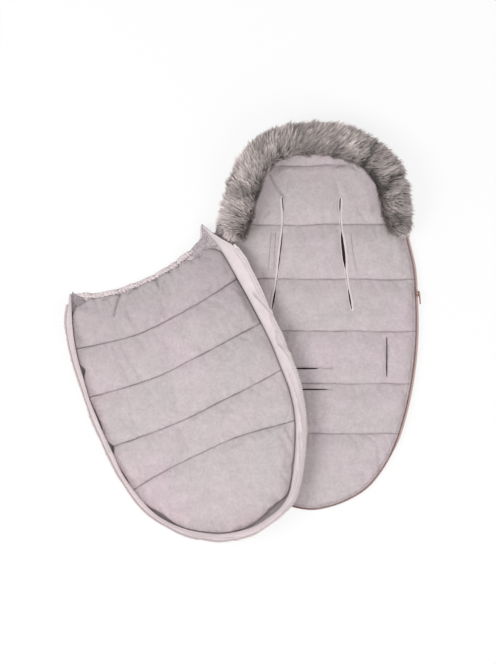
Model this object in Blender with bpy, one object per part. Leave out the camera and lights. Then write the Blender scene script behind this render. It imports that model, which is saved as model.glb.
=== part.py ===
"""A stroller footmuff, unzipped and laid open.

The back panel lies flat, lining up: outer cloth, wadding and quilted plush, with bound slits for the
harness, the crotch strap and the lap belt, a hood at its head end with a fur ruff, and one half of the
zip round its edge. The cover lies inside up across its left side: a quilted panel, a gusset that stands
up round it and carries the other half of the zip, and a gathered hem with elastic in it.

Metres, +Z up. The origin is on the underside of the back panel, on its centre line. -Y is the foot end.
"""

import math

import bmesh
import bpy
import numpy as np
from mathutils import Matrix, Vector

# Cloths, the play between touching pieces, and how far cutters overrun
SHELL_CLOTH = 0.0012
PLUSH_CLOTH = 0.0025
GUSSET_CLOTH = 0.0024
FACING_CLOTH = 0.0010
PLAY = 0.0003
CUT_OVERRUN = 0.004

# Back panel: each side is an arc, which the zip's slider follows
BACK_LENGTH = 0.902
BACK_WIDTH = 0.520
BACK_SIDE_RADIUS = 0.899
BACK_ARC_Y = 0.007
BACK_ARC_SHARES = (-0.567, 0.541)
BACK_MARGIN = 0.004
# From the arc's lower end to the foot: how far along, and the half width there
FOOT_OUTLINE_SHARES = ((0.244, 0.916), (0.492, 0.795), (0.738, 0.611), (0.862, 0.439), (0.964, 0.204))
# From the arc's upper end to the hood's tip: how far along, and the half width on the left and right
HOOD_OUTLINE_SHARES = (
    (0.140, 0.905, 0.947), (0.343, 0.812, 0.890), (0.556, 0.706, 0.820), (0.720, 0.600, 0.715),
    (0.870, 0.469, 0.535), (0.966, 0.270, 0.310),
)
HOOD_TIP_SHARE = 0.015
BACK_SEAM_SHARES = (-0.588, -0.317, -0.033, 0.248, 0.541, 0.860)
BACK_EDGE_LOFT = 0.0040
BACK_SEAM_LOFT = 0.0065
BACK_CROWN_LOFT = 0.0140
BACK_EDGE_REACH = 0.035
WADDING_INSET = 0.003

# Hood: its rim stands up, held by darts and by the ruff
HOOD_RISE = 0.046
HOOD_REACH = 0.085
HOOD_START_Y = 0.228
HOOD_FULL_Y = 0.312

# Fur ruff on the hood's rim
RUFF_WIDTH = 0.084
RUFF_HEIGHT = 0.070
RUFF_LIFT_SHARE = 0.30
RUFF_TAPE_WIDTH = 0.030
RUFF_TAPE_CLOTH = 0.0012
RUFF_END_Y = 0.226
# Along the ruff from its left end to its right end, and its girth there
RUFF_GIRTH_SHARES = (
    (0.0, 0.55), (0.03, 0.84), (0.08, 0.99), (0.25, 0.97), (0.36, 0.90), (0.50, 0.93), (0.62, 0.96),
    (0.70, 0.91), (0.78, 1.0), (0.84, 0.94), (0.92, 0.98), (0.97, 0.84), (1.0, 0.55),
)
# The same, and how far inside the rim it is sewn, as a share of its width
RUFF_INSET_SHARES = ((0.0, 0.40), (0.10, 0.20), (0.25, 0.0), (1.0, 0.0))

# Slits through the back, each with a bound edge
BINDING_WALL = 0.0024
BINDING_LIP = 0.0010
BINDING_TACK = 0.0030
HARNESS_TOP_SPACING = 0.144
HARNESS_FOOT_SPACING = 0.198
HARNESS_TOP_Y = 0.312
HARNESS_FOOT_Y = 0.037
HARNESS_BOW_SHARE = 1.9
HARNESS_OPENING_SHARES = ((0.0, 0.131), (0.309, 0.640), (0.815, 1.0))
HARNESS_OPENING_WIDTHS = (0.0070, 0.0100, 0.0090)
CROTCH_SLIT_LENGTH = 0.100
CROTCH_SLIT_WIDTH = 0.0070
CROTCH_SLIT_YS = (-0.106, -0.157)
BELT_SLIT_LENGTH = 0.095
BELT_SLIT_WIDTH = 0.0070
BELT_SLIT_X = 0.184
BELT_SLIT_Y = -0.078

# Zip
BACK_ZIP_TOP_Y = 0.218
TAPE_CLOTH = 0.0008
TAPE_WIDTH = 0.011
TAPE_LEAN = math.radians(72)
COIL_RADIUS = 0.0014
STOP_LENGTH = 0.004
BOX_LENGTH = 0.010
FITTING_WALL = 0.0008

# Slider and its pull
SLIDER_LENGTH = 0.0130
SLIDER_WIDTH = 0.0114
SLIDER_PLATE = 0.0012
SLIDER_CLEARANCE = 0.0006
SLIDER_FLANGE = 0.0010
SLIDER_POST = 0.0022
SLIDER_Y = 0.076
# Plan of the plates, from the closing end to the parting end: how far along, and the half width
SLIDER_OUTLINE_SHARES = ((-1.0, 0.79), (-0.2, 0.82), (0.25, 0.94), (0.70, 1.0), (1.0, 0.86))
BRIDGE_LENGTH = 0.0066
BRIDGE_WIRE = 0.0012
BRIDGE_ROOM = 0.0022
PULL_LENGTH = 0.026
PULL_WIDTH = 0.0066
PULL_THICKNESS = 0.0012
PULL_RIM = 0.0011
PULL_EYE_LENGTH = 0.0075
PULL_TIP_SHARES = (0.90, 0.45)
PULL_SLOT_WIDTH = 0.0028
PULL_SLOT_SHARES = (0.42, 0.82)

# Cover, in its own frame: its hem is at +Y
COVER_ANGLE = math.radians(25.4)
COVER_CENTRE = (-0.3001, -0.1757)
COVER_LENGTH = 0.667
COVER_WIDTH = 0.472
COVER_FOOT_Y = -0.357
COVER_TIP_SHARE = 0.035
COVER_MARGIN = 0.005
# From the foot to the hem: how far along, and the half width on the left and right
COVER_OUTLINE_SHARES = (
    (0.008, 0.130, 0.212), (0.023, 0.270, 0.373), (0.054, 0.432, 0.513), (0.100, 0.606, 0.614),
    (0.163, 0.763, 0.725), (0.235, 0.873, 0.826), (0.318, 0.936, 0.915), (0.406, 0.966, 0.979),
    (0.489, 0.975, 1.008), (0.574, 0.970, 1.025), (0.673, 0.941, 1.021), (0.765, 0.898, 1.004),
    (0.847, 0.852, 0.979), (0.919, 0.792, 0.962), (0.985, 0.720, 0.945), (1.038, 0.655, 0.915),
    (1.090, 0.590, 0.881), (1.140, 0.530, 0.850),
)
# Each row of stitching: its middle, and how much higher its left and right ends are
COVER_SEAM_SHARES = (
    (0.330, -0.016, -0.039), (0.468, 0.022, 0.012), (0.651, 0.039, 0.015), (0.819, 0.052, 0.029),
)
COVER_HEAD_SHARES = (1.003, 0.058, 0.078)
COVER_SEAM_LOFT = 0.0050
COVER_EDGE_LOFT = 0.0040
COVER_CROWN_LOFT = 0.0150
COVER_EDGE_REACH = 0.040
# How far outside the back's edge the cover has risen clear of the zip, and over what run it rises
DRAPE_LEAD = 0.014
DRAPE_RUN = 0.080

# Gusset round the cover
GUSSET_WIDTH = 0.040
GUSSET_TIP_SHARE = 0.30
GUSSET_TAPER = 0.060
# Along the gusset from its left end round the foot to its right end, and how far it leans out
GUSSET_LEAN_SHARES = (
    (0.0, 0.30), (0.06, 0.40), (0.15, 0.30), (0.25, 0.38), (0.36, 0.40), (0.45, 0.32), (0.50, 0.26),
    (0.55, 0.28), (0.62, 0.46), (0.70, 0.57), (0.78, 0.62), (0.85, 0.63), (0.92, 0.80), (0.955, 0.74),
    (0.985, 0.45), (1.0, 0.30),
)
COVER_ZIP_TOP_SHARE = 0.955

# Gathered hem and the elastic in it
HEM_WIDTH = 0.0130
HEM_HEIGHT = 0.0064
HEM_GATHER_SHARE = 0.14
HEM_GATHERS = 20
HEM_SIDES = 8
ELASTIC_WIDTH = 0.0060
ELASTIC_THICKNESS = 0.0012
# Corner facings on the left and right: how far each runs along the hem and down the side
CORNER_RUNS = ((0.052, 0.055), (0.080, 0.070))
CORNER_SLOPE_SHARE = 0.40

# How finely the soft forms are divided
COLUMN_SHARES = (0.0, 0.40, 0.74, 0.93, 1.0)
CHANNEL_SHARES = (0.0, 0.14, 0.50, 0.86)
END_SHARES = (0.04, 0.12, 0.27, 0.50, 0.76)
OPENING_SHARES = (0.0, 0.05, 0.20, 0.50, 0.80, 0.95, 1.0)
TIP_WIDTH_SHARE = 0.80
TIP_CUT = 0.0012
SPAN_STEPS = 6
BINDING_STEPS = 4
ZIP_STATIONS = 52
RUFF_STATIONS = 27
RUFF_SIDES = 14

COLOURS = {
    "plush": ((0.578, 0.503, 0.527), 0.95, 0.0),
    "melange": ((0.430, 0.365, 0.385), 0.85, 0.0),
    "pink_cloth": ((0.780, 0.680, 0.705), 0.75, 0.0),
    "wadding": ((0.850, 0.850, 0.840), 1.00, 0.0),
    "fur": ((0.300, 0.262, 0.268), 1.00, 0.0),
    "zip_tape": ((0.640, 0.480, 0.470), 0.80, 0.0),
    "zip_coil": ((0.700, 0.480, 0.440), 0.45, 0.0),
    "rose_metal": ((0.640, 0.420, 0.350), 0.30, 1.0),
    "elastic": ((0.800, 0.790, 0.780), 0.85, 0.0),
}


def smooth(share):
    share = np.clip(share, 0.0, 1.0)
    return share * share * (3.0 - 2.0 * share)


def follow(table, along):
    """The value of a table of shares at each place along it."""
    return np.interp(along, *np.array(table).T)


def unit(vectors):
    return vectors / np.linalg.norm(vectors, axis=-1)[..., None]


def through(points, closed=False):
    """A smooth curve through the points."""
    points = np.asarray(points, float)
    if closed:
        points = np.vstack([points[-1:], points, points[:2]])
    else:
        points = np.vstack([2 * points[0] - points[1], points, 2 * points[-1] - points[-2]])
    gaps = np.linalg.norm(np.diff(points, axis=0), axis=1)[:, None]
    slopes = np.diff(points, axis=0) / gaps
    tangents = (slopes[:-1] * gaps[1:] + slopes[1:] * gaps[:-1]) / (gaps[:-1] + gaps[1:])
    step = np.arange(SPAN_STEPS)[:, None] / SPAN_STEPS
    bend = step**2 * (3 - 2 * step)
    leave, arrive = step * (1 - step) ** 2, step**2 * (1 - step)
    curve = [
        points[i] * (1 - bend)
        + points[i + 1] * bend
        + gaps[i] * (tangents[i - 1] * leave - tangents[i] * arrive)
        for i in range(1, len(points) - 2)
    ]
    return np.vstack(curve if closed else curve + [points[-2:-1]])


def distances(path):
    """How far along a path each of its points is."""
    return np.concatenate([[0.0], np.cumsum(np.linalg.norm(np.diff(path, axis=0), axis=1))])


def resampled(path, count):
    """The path as this many evenly spaced points."""
    along = distances(path)
    places = np.linspace(0.0, along[-1], count)
    return np.stack([np.interp(places, along, axis) for axis in path.T], axis=1)


def side_normals(path, closed=False):
    """Unit vectors square to a flat path, on its right as it is walked."""
    ahead = np.gradient(np.vstack([path[-1:], path, path[:1]]) if closed else path, axis=0)
    ahead = unit(ahead[1:-1] if closed else ahead)
    return np.stack([ahead[:, 1], -ahead[:, 0]], axis=1)


def depth_inside(x, y, outline):
    """How far inside a closed outline each point is, and less than zero outside it."""
    shape = np.shape(x)
    spot = np.stack([np.ravel(x), np.ravel(y)], axis=1)[:, None, :]
    start = outline[None, :, :]
    run = np.roll(outline, -1, axis=0)[None, :, :] - start
    share = np.clip(((spot - start) * run).sum(2) / (run**2).sum(2), 0.0, 1.0)
    nearest = np.linalg.norm(spot - start - share[..., None] * run, axis=2).min(1)
    starts_above = start[..., 1] > spot[..., 1]
    ends_above = (start + run)[..., 1] > spot[..., 1]
    rise = np.where(run[..., 1] == 0, 1.0, run[..., 1])
    crossing = start[..., 0] + (spot[..., 1] - start[..., 1]) / rise * run[..., 0]
    inside = ((starts_above != ends_above) & (spot[..., 0] < crossing)).sum(1) % 2 == 1
    return np.where(inside, nearest, -nearest).reshape(shape)


def spans(outline, y):
    """Where a closed anticlockwise outline's left and right sides are at each height y."""
    turned = np.roll(outline, -int(np.argmin(outline[:, 1])), axis=0)
    head = int(np.argmax(turned[:, 1]))
    left = np.vstack([turned[:1], turned[head:][::-1]])
    right = turned[: head + 1]
    return np.interp(y, left[:, 1], left[:, 0]), np.interp(y, right[:, 1], right[:, 0])


# Outline of the back


def arc_centre():
    """Centre of the right side's arc, about which the slider travels."""
    return Vector((BACK_WIDTH / 2 - BACK_SIDE_RADIUS, BACK_ARC_Y, 0.0))


def back_side(mirror):
    """One side of the back from the foot up; mirror is 1 for the right side and -1 for the left."""
    half_length = BACK_LENGTH / 2
    low, high = (share * half_length for share in BACK_ARC_SHARES)
    centre = arc_centre()
    arc_y = np.linspace(low, high, 2 * SPAN_STEPS)
    arc_x = centre.x + np.sqrt(BACK_SIDE_RADIUS**2 - (arc_y - centre.y) ** 2)
    foot = [
        (mirror * wide * arc_x[0], low - along * (half_length + low))
        for along, wide in reversed(FOOT_OUTLINE_SHARES)
    ]
    hood = [
        (mirror * (right if mirror > 0 else left) * arc_x[-1], high + along * (half_length - high))
        for along, left, right in HOOD_OUTLINE_SHARES
    ]
    return foot + list(zip(mirror * arc_x, arc_y)) + hood


def back_outline():
    """The back's edge as one closed curve, anticlockwise from the foot."""
    foot, tip = (0.0, -BACK_LENGTH / 2), (HOOD_TIP_SHARE * BACK_WIDTH / 2, BACK_LENGTH / 2)
    return through([foot] + back_side(1) + [tip] + back_side(-1)[::-1], closed=True)


BACK_EDGE = back_outline()


def back_base(x, y):
    """Height of the back's underside: on the floor, and rising to the rim in the hood."""
    near_rim = np.clip(1 - np.maximum(depth_inside(x, y, BACK_EDGE), 0.0) / HOOD_REACH, 0, 1)
    return HOOD_RISE * smooth((y - HOOD_START_Y) / (HOOD_FULL_Y - HOOD_START_Y)) * near_rim**1.5


def pillow(y, edges):
    """0 at each edge and 1 midway between two, as wadding swells between rows of stitching."""
    cell = np.clip(np.searchsorted(edges, y) - 1, 0, len(edges) - 2)
    along = np.clip((y - edges[cell]) / (edges[cell + 1] - edges[cell]), 0.0, 1.0)
    return np.sqrt(4.0 * along * (1.0 - along))


def quilted_loft(inside, puff, edge, seam, crown, reach):
    """Thickness of quilted wadding from how far inside the edge it is and how far it may swell."""
    full = 1.0 - (1.0 - np.clip(inside / reach, 0.0, 1.0)) ** 2
    return edge + (seam - edge) * full + (crown - seam) * puff * full


def back_loft(x, y):
    puff = pillow(y, np.array([-1.0, *BACK_SEAM_SHARES, 1.0]) * BACK_LENGTH / 2)
    inside = depth_inside(x, y, BACK_EDGE)
    return quilted_loft(inside, puff, BACK_EDGE_LOFT, BACK_SEAM_LOFT, BACK_CROWN_LOFT, BACK_EDGE_REACH)


def back_top(x, y):
    """Height of the plush surface."""
    return back_base(x, y) + back_loft(x, y) + SHELL_CLOTH + PLUSH_CLOTH + 2 * PLAY


def back_reach():
    """Height of the highest plush, away from the hood."""
    return SHELL_CLOTH + BACK_CROWN_LOFT + PLUSH_CLOTH + 2 * PLAY


# Making objects


def material(name):
    found = bpy.data.materials.get(name)
    if found is None:
        colour, roughness, metallic = COLOURS[name]
        found = bpy.data.materials.new(name)
        found.use_nodes = True
        shader = found.node_tree.nodes["Principled BSDF"]
        shader.inputs["Base Color"].default_value = (*colour, 1.0)
        shader.inputs["Roughness"].default_value = roughness
        shader.inputs["Metallic"].default_value = metallic
        found.diffuse_color = (*colour, 1.0)
    return found


def new_collection(name, hidden=False):
    group = bpy.data.collections.new(name)
    group.hide_render = hidden
    bpy.context.scene.collection.children.link(group)
    return group


class Bench:
    """Where pieces and their cutters are put. A piece without a finish is a cutter."""

    def __init__(self):
        for thing in list(bpy.data.objects):
            bpy.data.objects.remove(thing)
        self.pieces = new_collection("stroller_footmuff")
        self.cutters = new_collection("cutters", hidden=True)

    def piece(self, name, form, finish):
        mesh = bpy.data.meshes.new(name)
        form.to_mesh(mesh)
        form.free()
        part = bpy.data.objects.new(name, mesh)
        if finish:
            self.pieces.objects.link(part)
            mesh.materials.append(material(finish))
            mesh.shade_smooth()
            mesh.set_sharp_from_angle(angle=math.radians(40))
        else:
            self.cutters.objects.link(part)
            part.hide_render = True
            part.display_type = "WIRE"
        return part

    def sheet(self, name, x, y, low, high, finish):
        """A soft sheet: a grid of points with its lower and its upper surface."""
        rows, columns = x.shape
        form = bmesh.new()
        bmesh.ops.create_grid(form, x_segments=columns - 1, y_segments=rows - 1, size=1.0)
        number = form.verts.layers.int.new("number")
        for index, vertex in enumerate(form.verts):
            vertex[number] = index
            vertex.co = (x.flat[index], y.flat[index], low.flat[index])
        bmesh.ops.triangulate(form, faces=form.faces[:], quad_method="FIXED")
        for lifted in bmesh.ops.extrude_face_region(form, geom=form.faces[:])["geom"]:
            if isinstance(lifted, bmesh.types.BMVert):
                lifted.co.z = high.flat[lifted[number]]
        bmesh.ops.recalc_face_normals(form, faces=form.faces[:])
        return self.piece(name, form, finish)

    def swept(self, name, base, out, up, sections, finish):
        """A closed section carried along a path; a section's points are (along out, along up)."""
        sections = np.broadcast_to(sections, (len(base), *np.shape(sections)[-2:]))
        rings = base[:, None] + sections[..., :1] * out[:, None] + sections[..., 1:] * up[:, None]
        form = bmesh.new()
        made = [[form.verts.new(point) for point in ring] for ring in rings]
        for first, second in zip(made, made[1:]):
            for i in range(len(first)):
                j = (i + 1) % len(first)
                form.faces.new((first[i], first[j], second[j], second[i]))
        form.faces.new(made[0][::-1])
        form.faces.new(made[-1])
        bmesh.ops.recalc_face_normals(form, faces=form.faces[:])
        return self.piece(name, form, finish)

    def from_curve(self, name, curve, finish, shift=0.0):
        """A curve made a mesh, raised by shift, with its caps welded on."""
        line = bpy.data.objects.new(name + "_line", curve)
        self.cutters.objects.link(line)
        graph = bpy.context.evaluated_depsgraph_get()
        mesh = bpy.data.meshes.new_from_object(line.evaluated_get(graph), depsgraph=graph)
        bpy.data.objects.remove(line)
        form = bmesh.new()
        form.from_mesh(mesh)
        bpy.data.meshes.remove(mesh)
        bmesh.ops.remove_doubles(form, verts=form.verts[:], dist=PLAY / 100)
        bmesh.ops.translate(form, verts=form.verts[:], vec=(0.0, 0.0, shift))
        bmesh.ops.recalc_face_normals(form, faces=form.faces[:])
        return self.piece(name, form, finish)

    def tube(self, name, points, radius, finish):
        curve = bpy.data.curves.new(name, "CURVE")
        curve.dimensions = "3D"
        curve.bevel_depth = radius
        curve.bevel_resolution = 1
        curve.use_fill_caps = True
        line = curve.splines.new("POLY")
        line.points.add(len(points) - 1)
        for control, point in zip(line.points, points):
            control.co = (*point, 1.0)
        return self.from_curve(name, curve, finish)

    def prism(self, name, loops, low, high, finish):
        """Flat outlines made one upright solid from height low to height high."""
        curve = bpy.data.curves.new(name, "CURVE")
        curve.dimensions = "2D"
        curve.fill_mode = "BOTH"
        curve.extrude = (high - low) / 2
        for loop in loops:
            line = curve.splines.new("POLY")
            line.use_cyclic_u = True
            line.points.add(len(loop) - 1)
            for control, point in zip(line.points, loop):
                control.co = (*point, 0.0, 1.0)
        return self.from_curve(name, curve, finish, (low + high) / 2)


def change(part, other, operation="DIFFERENCE"):
    step = part.modifiers.new(other.name, "BOOLEAN")
    step.operation = operation
    step.object = other


# Slits through the back


def harness_line(mirror):
    """The middle line of a harness slit, as a function of how far along it is from its top."""
    top, foot = HARNESS_TOP_SPACING / 2, HARNESS_FOOT_SPACING / 2

    def line(along):
        x = top + (foot - top) * np.clip(along, 0.0, None) ** HARNESS_BOW_SHARE
        return np.stack([mirror * x, HARNESS_TOP_Y + (HARNESS_FOOT_Y - HARNESS_TOP_Y) * along], axis=-1)

    return line


def crotch_line(y):
    def line(along):
        return np.stack([CROTCH_SLIT_LENGTH * (along - 0.5), np.full(np.shape(along), y)], axis=-1)

    return line


def belt_line(mirror):
    def line(along):
        x = np.full(np.shape(along), mirror * BELT_SLIT_X)
        return np.stack([x, BELT_SLIT_Y + BELT_SLIT_LENGTH * (0.5 - along)], axis=-1)

    return line


def slits():
    """Each slit: its binding's name, middle line, openings, their widths, and its length."""
    harness = HARNESS_OPENING_SHARES, HARNESS_OPENING_WIDTHS, HARNESS_TOP_Y - HARNESS_FOOT_Y
    crotch = ((0.0, 1.0),), (CROTCH_SLIT_WIDTH,), CROTCH_SLIT_LENGTH
    belt = ((0.0, 1.0),), (BELT_SLIT_WIDTH,), BELT_SLIT_LENGTH
    return [
        ("harness_binding_left", harness_line(-1), *harness),
        ("harness_binding_right", harness_line(1), *harness),
        ("crotch_binding_upper", crotch_line(CROTCH_SLIT_YS[0]), *crotch),
        ("crotch_binding_lower", crotch_line(CROTCH_SLIT_YS[1]), *crotch),
        ("belt_binding_left", belt_line(-1), *belt),
        ("belt_binding_right", belt_line(1), *belt),
    ]


def ribbon(middle, half):
    """The closed outline of a band about its middle line."""
    aside = side_normals(middle) * np.asarray(half)[:, None]
    return np.vstack([middle + aside, (middle - aside)[::-1]])


def slit_opening(line, start, end, width):
    """One opening of a slit, with round ends."""
    share = np.array(OPENING_SHARES)
    half = width / 2 * np.sqrt(1.0 - 0.98 * np.abs(2 * share - 1) ** 8)
    return ribbon(line(start + (end - start) * share), half)


def slit_edge(line, openings, widths, length, grow):
    """The outline round all openings of a slit, wider by grow and drawn in at the tacks between them."""
    places, halves = [], []
    past = (BINDING_TACK + grow) / length
    for (start, end), width in zip(openings, widths):
        places += [start - past, *np.linspace(start, end, BINDING_STEPS + 1), end + past]
        halves += [BINDING_TACK / 2 + grow, *[width / 2 + grow] * (BINDING_STEPS + 1), BINDING_TACK / 2 + grow]
    return ribbon(line(np.array(places)), halves)


def bindings(bench):
    """The bound edge of each slit, from the outer cloth to just above the plush."""
    proud = back_reach() + CUT_OVERRUN
    for name, line, openings, widths, length in slits():
        edge = slit_edge(line, openings, widths, length, BINDING_WALL)
        holes = [slit_opening(line, start, end, width) for (start, end), width in zip(openings, widths)]
        ring = bench.prism(name, [edge, *holes], PLAY, proud, "pink_cloth")
        for vertex in ring.data.vertices:
            if vertex.co.z > proud / 2:
                vertex.co.z = float(back_top(vertex.co.x, vertex.co.y)) + BINDING_LIP


def slit_cutter(bench):
    """All slits as one cutter, as wide as the bindings and their play."""
    loops = [slit_edge(*slit[1:], BINDING_WALL + PLAY) for slit in slits()]
    return bench.prism("slits", loops, -CUT_OVERRUN, back_reach() + 2 * CUT_OVERRUN, None)


# The grid that each panel's layers share


def offset(outline, inset):
    return outline - side_normals(outline, closed=True) * inset


def channel_rows(edges):
    """Heights of the rows from the first edge to the last, with the same shares in each channel."""
    rows = [start + (end - start) * share for start, end in zip(edges, edges[1:]) for share in CHANNEL_SHARES]
    return rows + [edges[-1]]


def end_rows(tip, first, insets):
    """Heights of the rows between a round end's tip and the first row of stitching."""
    way = math.copysign(1.0, first - tip)
    near = [tip + way * (inset + TIP_CUT) for inset in insets]
    return near + [near[-1] + (first - near[-1]) * share for share in END_SHARES]


def layer_spans(outline, y, insets):
    """The middle of each row and its half width at each inset, the outermost first."""
    left, right = spans(outline, y)
    middle, halves = (left + right) / 2, [(right - left) / 2]
    for inset in insets[1:]:
        inner = offset(outline, inset)
        left, right = spans(inner, y)
        reached = (y > inner[:, 1].min() + TIP_CUT / 2) & (y < inner[:, 1].max() - TIP_CUT / 2)
        narrow = np.minimum((right - left) / 2, halves[-1] - TIP_CUT)
        halves.append(np.where(reached, narrow, TIP_WIDTH_SHARE * halves[-1]))
    return middle, halves


def grid_columns(middle, halves):
    """x of each point, and how far across it is from -1 to 1."""
    shares = np.array(COLUMN_SHARES)
    across = np.concatenate([-shares[:0:-1], shares])
    outer = np.stack(halves[:-1], axis=1)
    offsets = np.hstack([-outer, halves[-1][:, None] * across, outer[:, ::-1]])
    return middle[:, None] + offsets, offsets / halves[0][:, None]


def within(values, rings):
    """The grid without its outermost rings."""
    return values[rings : len(values) - rings, rings : values.shape[1] - rings]


def layered(bench, prefix, x, y, base, loft):
    """Outer cloth, wadding and plush on one grid, each a little further inside the edge."""
    under = base + SHELL_CLOTH + PLAY
    over = under + loft + PLAY
    outer = [within(values, 1) for values in (x, y, over, over + PLUSH_CLOTH)]
    inner = [within(values, 2) for values in (x, y, under, under + loft)]
    shell = bench.sheet(prefix + "_shell", x, y, base, base + SHELL_CLOTH, "melange")
    lining = bench.sheet(prefix + "_lining", *outer, "plush")
    wadding = bench.sheet(prefix + "_wadding", *inner, "wadding")
    return [shell, lining, wadding]


# Back panel


def back_grid():
    half = BACK_LENGTH / 2
    insets = (0.0, BACK_MARGIN, BACK_MARGIN + WADDING_INSET)
    seams = [share * half for share in BACK_SEAM_SHARES]
    foot, head = end_rows(-half, seams[0], insets), end_rows(half, seams[-1], insets)
    rows = np.array(foot + channel_rows(seams) + head[::-1])
    x, _ = grid_columns(*layer_spans(BACK_EDGE, rows, insets))
    return x, np.repeat(rows[:, None], x.shape[1], axis=1)


def back_panel(bench, grid):
    holes = slit_cutter(bench)
    for layer in layered(bench, "back", *grid, back_base(*grid), back_loft(*grid)):
        change(layer, holes)


# Ruff


def ruff_path():
    """The ruff's middle line from its left end over the hood to its right end."""
    path = resampled(BACK_EDGE[BACK_EDGE[:, 1] > RUFF_END_Y][::-1], RUFF_STATIONS)
    along = np.linspace(0.0, 1.0, len(path))
    inset = follow(RUFF_INSET_SHARES, along) * RUFF_WIDTH + BACK_MARGIN
    return path + inset[:, None] * side_normals(path), along


def ruff(bench, grid, cover_rim):
    """The fur strip and the tape it is sewn to, both lying on the plush along the rim."""
    path, along = ruff_path()
    base = np.column_stack([path, back_top(path[:, 0], path[:, 1])])
    inward = np.column_stack([side_normals(path), np.zeros(len(path))])
    up = np.tile([0.0, 0.0, 1.0], (len(path), 1))
    top = back_top(*grid) + PLAY
    x, y, low = (within(values, 1) for values in (*grid, top))
    tape = bench.sheet("fur_backing", x, y, low, low + RUFF_TAPE_CLOTH, "melange")
    half = RUFF_TAPE_WIDTH / 2
    band = strip(-half, half, -2 * HOOD_RISE, 2 * HOOD_RISE)
    change(tape, bench.swept("ruff_band", base, inward, up, band, None), "INTERSECT")
    turn = np.arange(RUFF_SIDES) / RUFF_SIDES * math.tau
    oval = np.stack([np.cos(turn) * RUFF_WIDTH, np.sin(turn) * RUFF_HEIGHT], axis=1) / 2
    sections = oval * follow(RUFF_GIRTH_SHARES, along)[:, None, None] + (0.0, RUFF_LIFT_SHARE * RUFF_HEIGHT)
    fur = bench.swept("fur_trim", base, inward, up, sections, "fur")
    deep = np.full_like(top, -HOOD_RISE)
    change(fur, bench.sheet("ruff_seat", *grid, deep, top + RUFF_TAPE_CLOTH + PLAY, None))
    beside_cover = bench.prism("beside_cover", [cover_rim], -HOOD_RISE, RUFF_HEIGHT + 3 * HOOD_RISE, None)
    for part in (fur, tape):
        change(part, beside_cover)


# Zip halves


def strip(start, end, low, high):
    """Section of a strip: its run in the first direction and its thickness in the second."""
    return np.array([(start, low), (end, low), (end, high), (start, high)])


def leaning(path, height, lean):
    """Points along the foot of a wall, the direction up the wall and the direction square to it."""
    outward = np.column_stack([side_normals(path), np.zeros(len(path))])
    upward = np.tile([0.0, 0.0, 1.0], (len(path), 1))
    lean = np.broadcast_to(lean, len(path))[:, None]
    base = np.column_stack([path, np.broadcast_to(height, len(path))])
    rising = outward * np.cos(lean) + upward * np.sin(lean)
    return base, rising, upward * np.cos(lean) - outward * np.sin(lean)


def zip_half(bench, prefix, wall, start):
    """Tape and coil of one half; the tape starts this far up the wall. Gives the coil's middle line."""
    base, rising, square = wall
    section = strip(start, start + TAPE_WIDTH, -TAPE_CLOTH / 2, TAPE_CLOTH / 2)
    bench.swept(prefix + "_zip_tape", base, rising, square, section, "zip_tape")
    middle = base + rising * (start + TAPE_WIDTH + PLAY + COIL_RADIUS)
    bench.tube(prefix + "_zip_coil", middle, COIL_RADIUS, "zip_coil")
    return middle


def fitting(bench, name, wall, middle, length):
    """A moulded fitting in line with the coil, beyond its first turn."""
    _, rising, square = wall
    ahead = unit(middle[0] - middle[1])
    near = middle[0] + ahead * PLAY
    half = COIL_RADIUS + FITTING_WALL
    path = np.array([near, near + ahead * length])
    bench.swept(name, path, rising[[0, 0]], square[[0, 0]], strip(-half, half, -half, half), "zip_coil")


def both_ends(bench, names, lengths, wall, middle):
    fitting(bench, names[0], wall, middle, lengths[0])
    fitting(bench, names[1], [values[::-1] for values in wall], middle[::-1], lengths[1])


def back_zip(bench):
    """The back's half of the zip, caught between outer cloth and plush, from left round to right."""
    turned = np.roll(BACK_EDGE, -int(np.argmax(BACK_EDGE[:, 1])), axis=0)
    path = resampled(turned[turned[:, 1] < BACK_ZIP_TOP_Y], ZIP_STATIONS)
    path = path - side_normals(path) * BACK_MARGIN / 2
    wall = leaning(path, SHELL_CLOTH + PLAY + TAPE_CLOTH / 2, TAPE_LEAN)
    middle = zip_half(bench, "back", wall, 0.0)
    both_ends(bench, ("back_zip_box", "back_zip_stop"), (BOX_LENGTH, STOP_LENGTH), wall, middle)
    return middle


# Slider


def slider_frame(middle):
    """Where the slider is on the coil: X towards the hood, Y up the tape, Z out of its face."""
    centre = arc_centre()
    right = middle[len(middle) // 2 :]
    height = np.interp(SLIDER_Y, right[:, 1], right[:, 2])
    radius = math.hypot(np.interp(SLIDER_Y, right[:, 1], right[:, 0]) - centre.x, SLIDER_Y - centre.y)
    turn = math.asin((SLIDER_Y - centre.y) / radius)
    outward = Vector((math.cos(turn), math.sin(turn), 0.0))
    along = Vector((-outward.y, outward.x, 0.0))
    rising = outward * math.cos(TAPE_LEAN) + Vector((0.0, 0.0, math.sin(TAPE_LEAN)))
    frame = Matrix((along, rising, along.cross(rising))).transposed().to_4x4()
    frame.translation = centre + outward * radius + Vector((0.0, 0.0, height))
    return frame


def slider_plan(narrower, longer):
    """Plan of the slider, this much narrower on each side and longer at each end."""
    side = [
        (along * (SLIDER_LENGTH / 2 + longer), wide * SLIDER_WIDTH / 2 - narrower)
        for along, wide in SLIDER_OUTLINE_SHARES
    ]
    return [(x, COIL_RADIUS + y) for x, y in side] + [(x, COIL_RADIUS - y) for x, y in reversed(side)]


def post_plan():
    """Plan of the post, which parts the coils: a lozenge at the parting end."""
    half = SLIDER_POST / 2
    x = SLIDER_LENGTH / 2 - half
    y = COIL_RADIUS + SLIDER_CLEARANCE + half
    return [(x - SLIDER_POST, y), (x, y - half), (x + half, y), (x, y + half)]


def slider_top():
    """Height of the slider's face over the middle of the coil."""
    return COIL_RADIUS + SLIDER_CLEARANCE + SLIDER_PLATE


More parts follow.
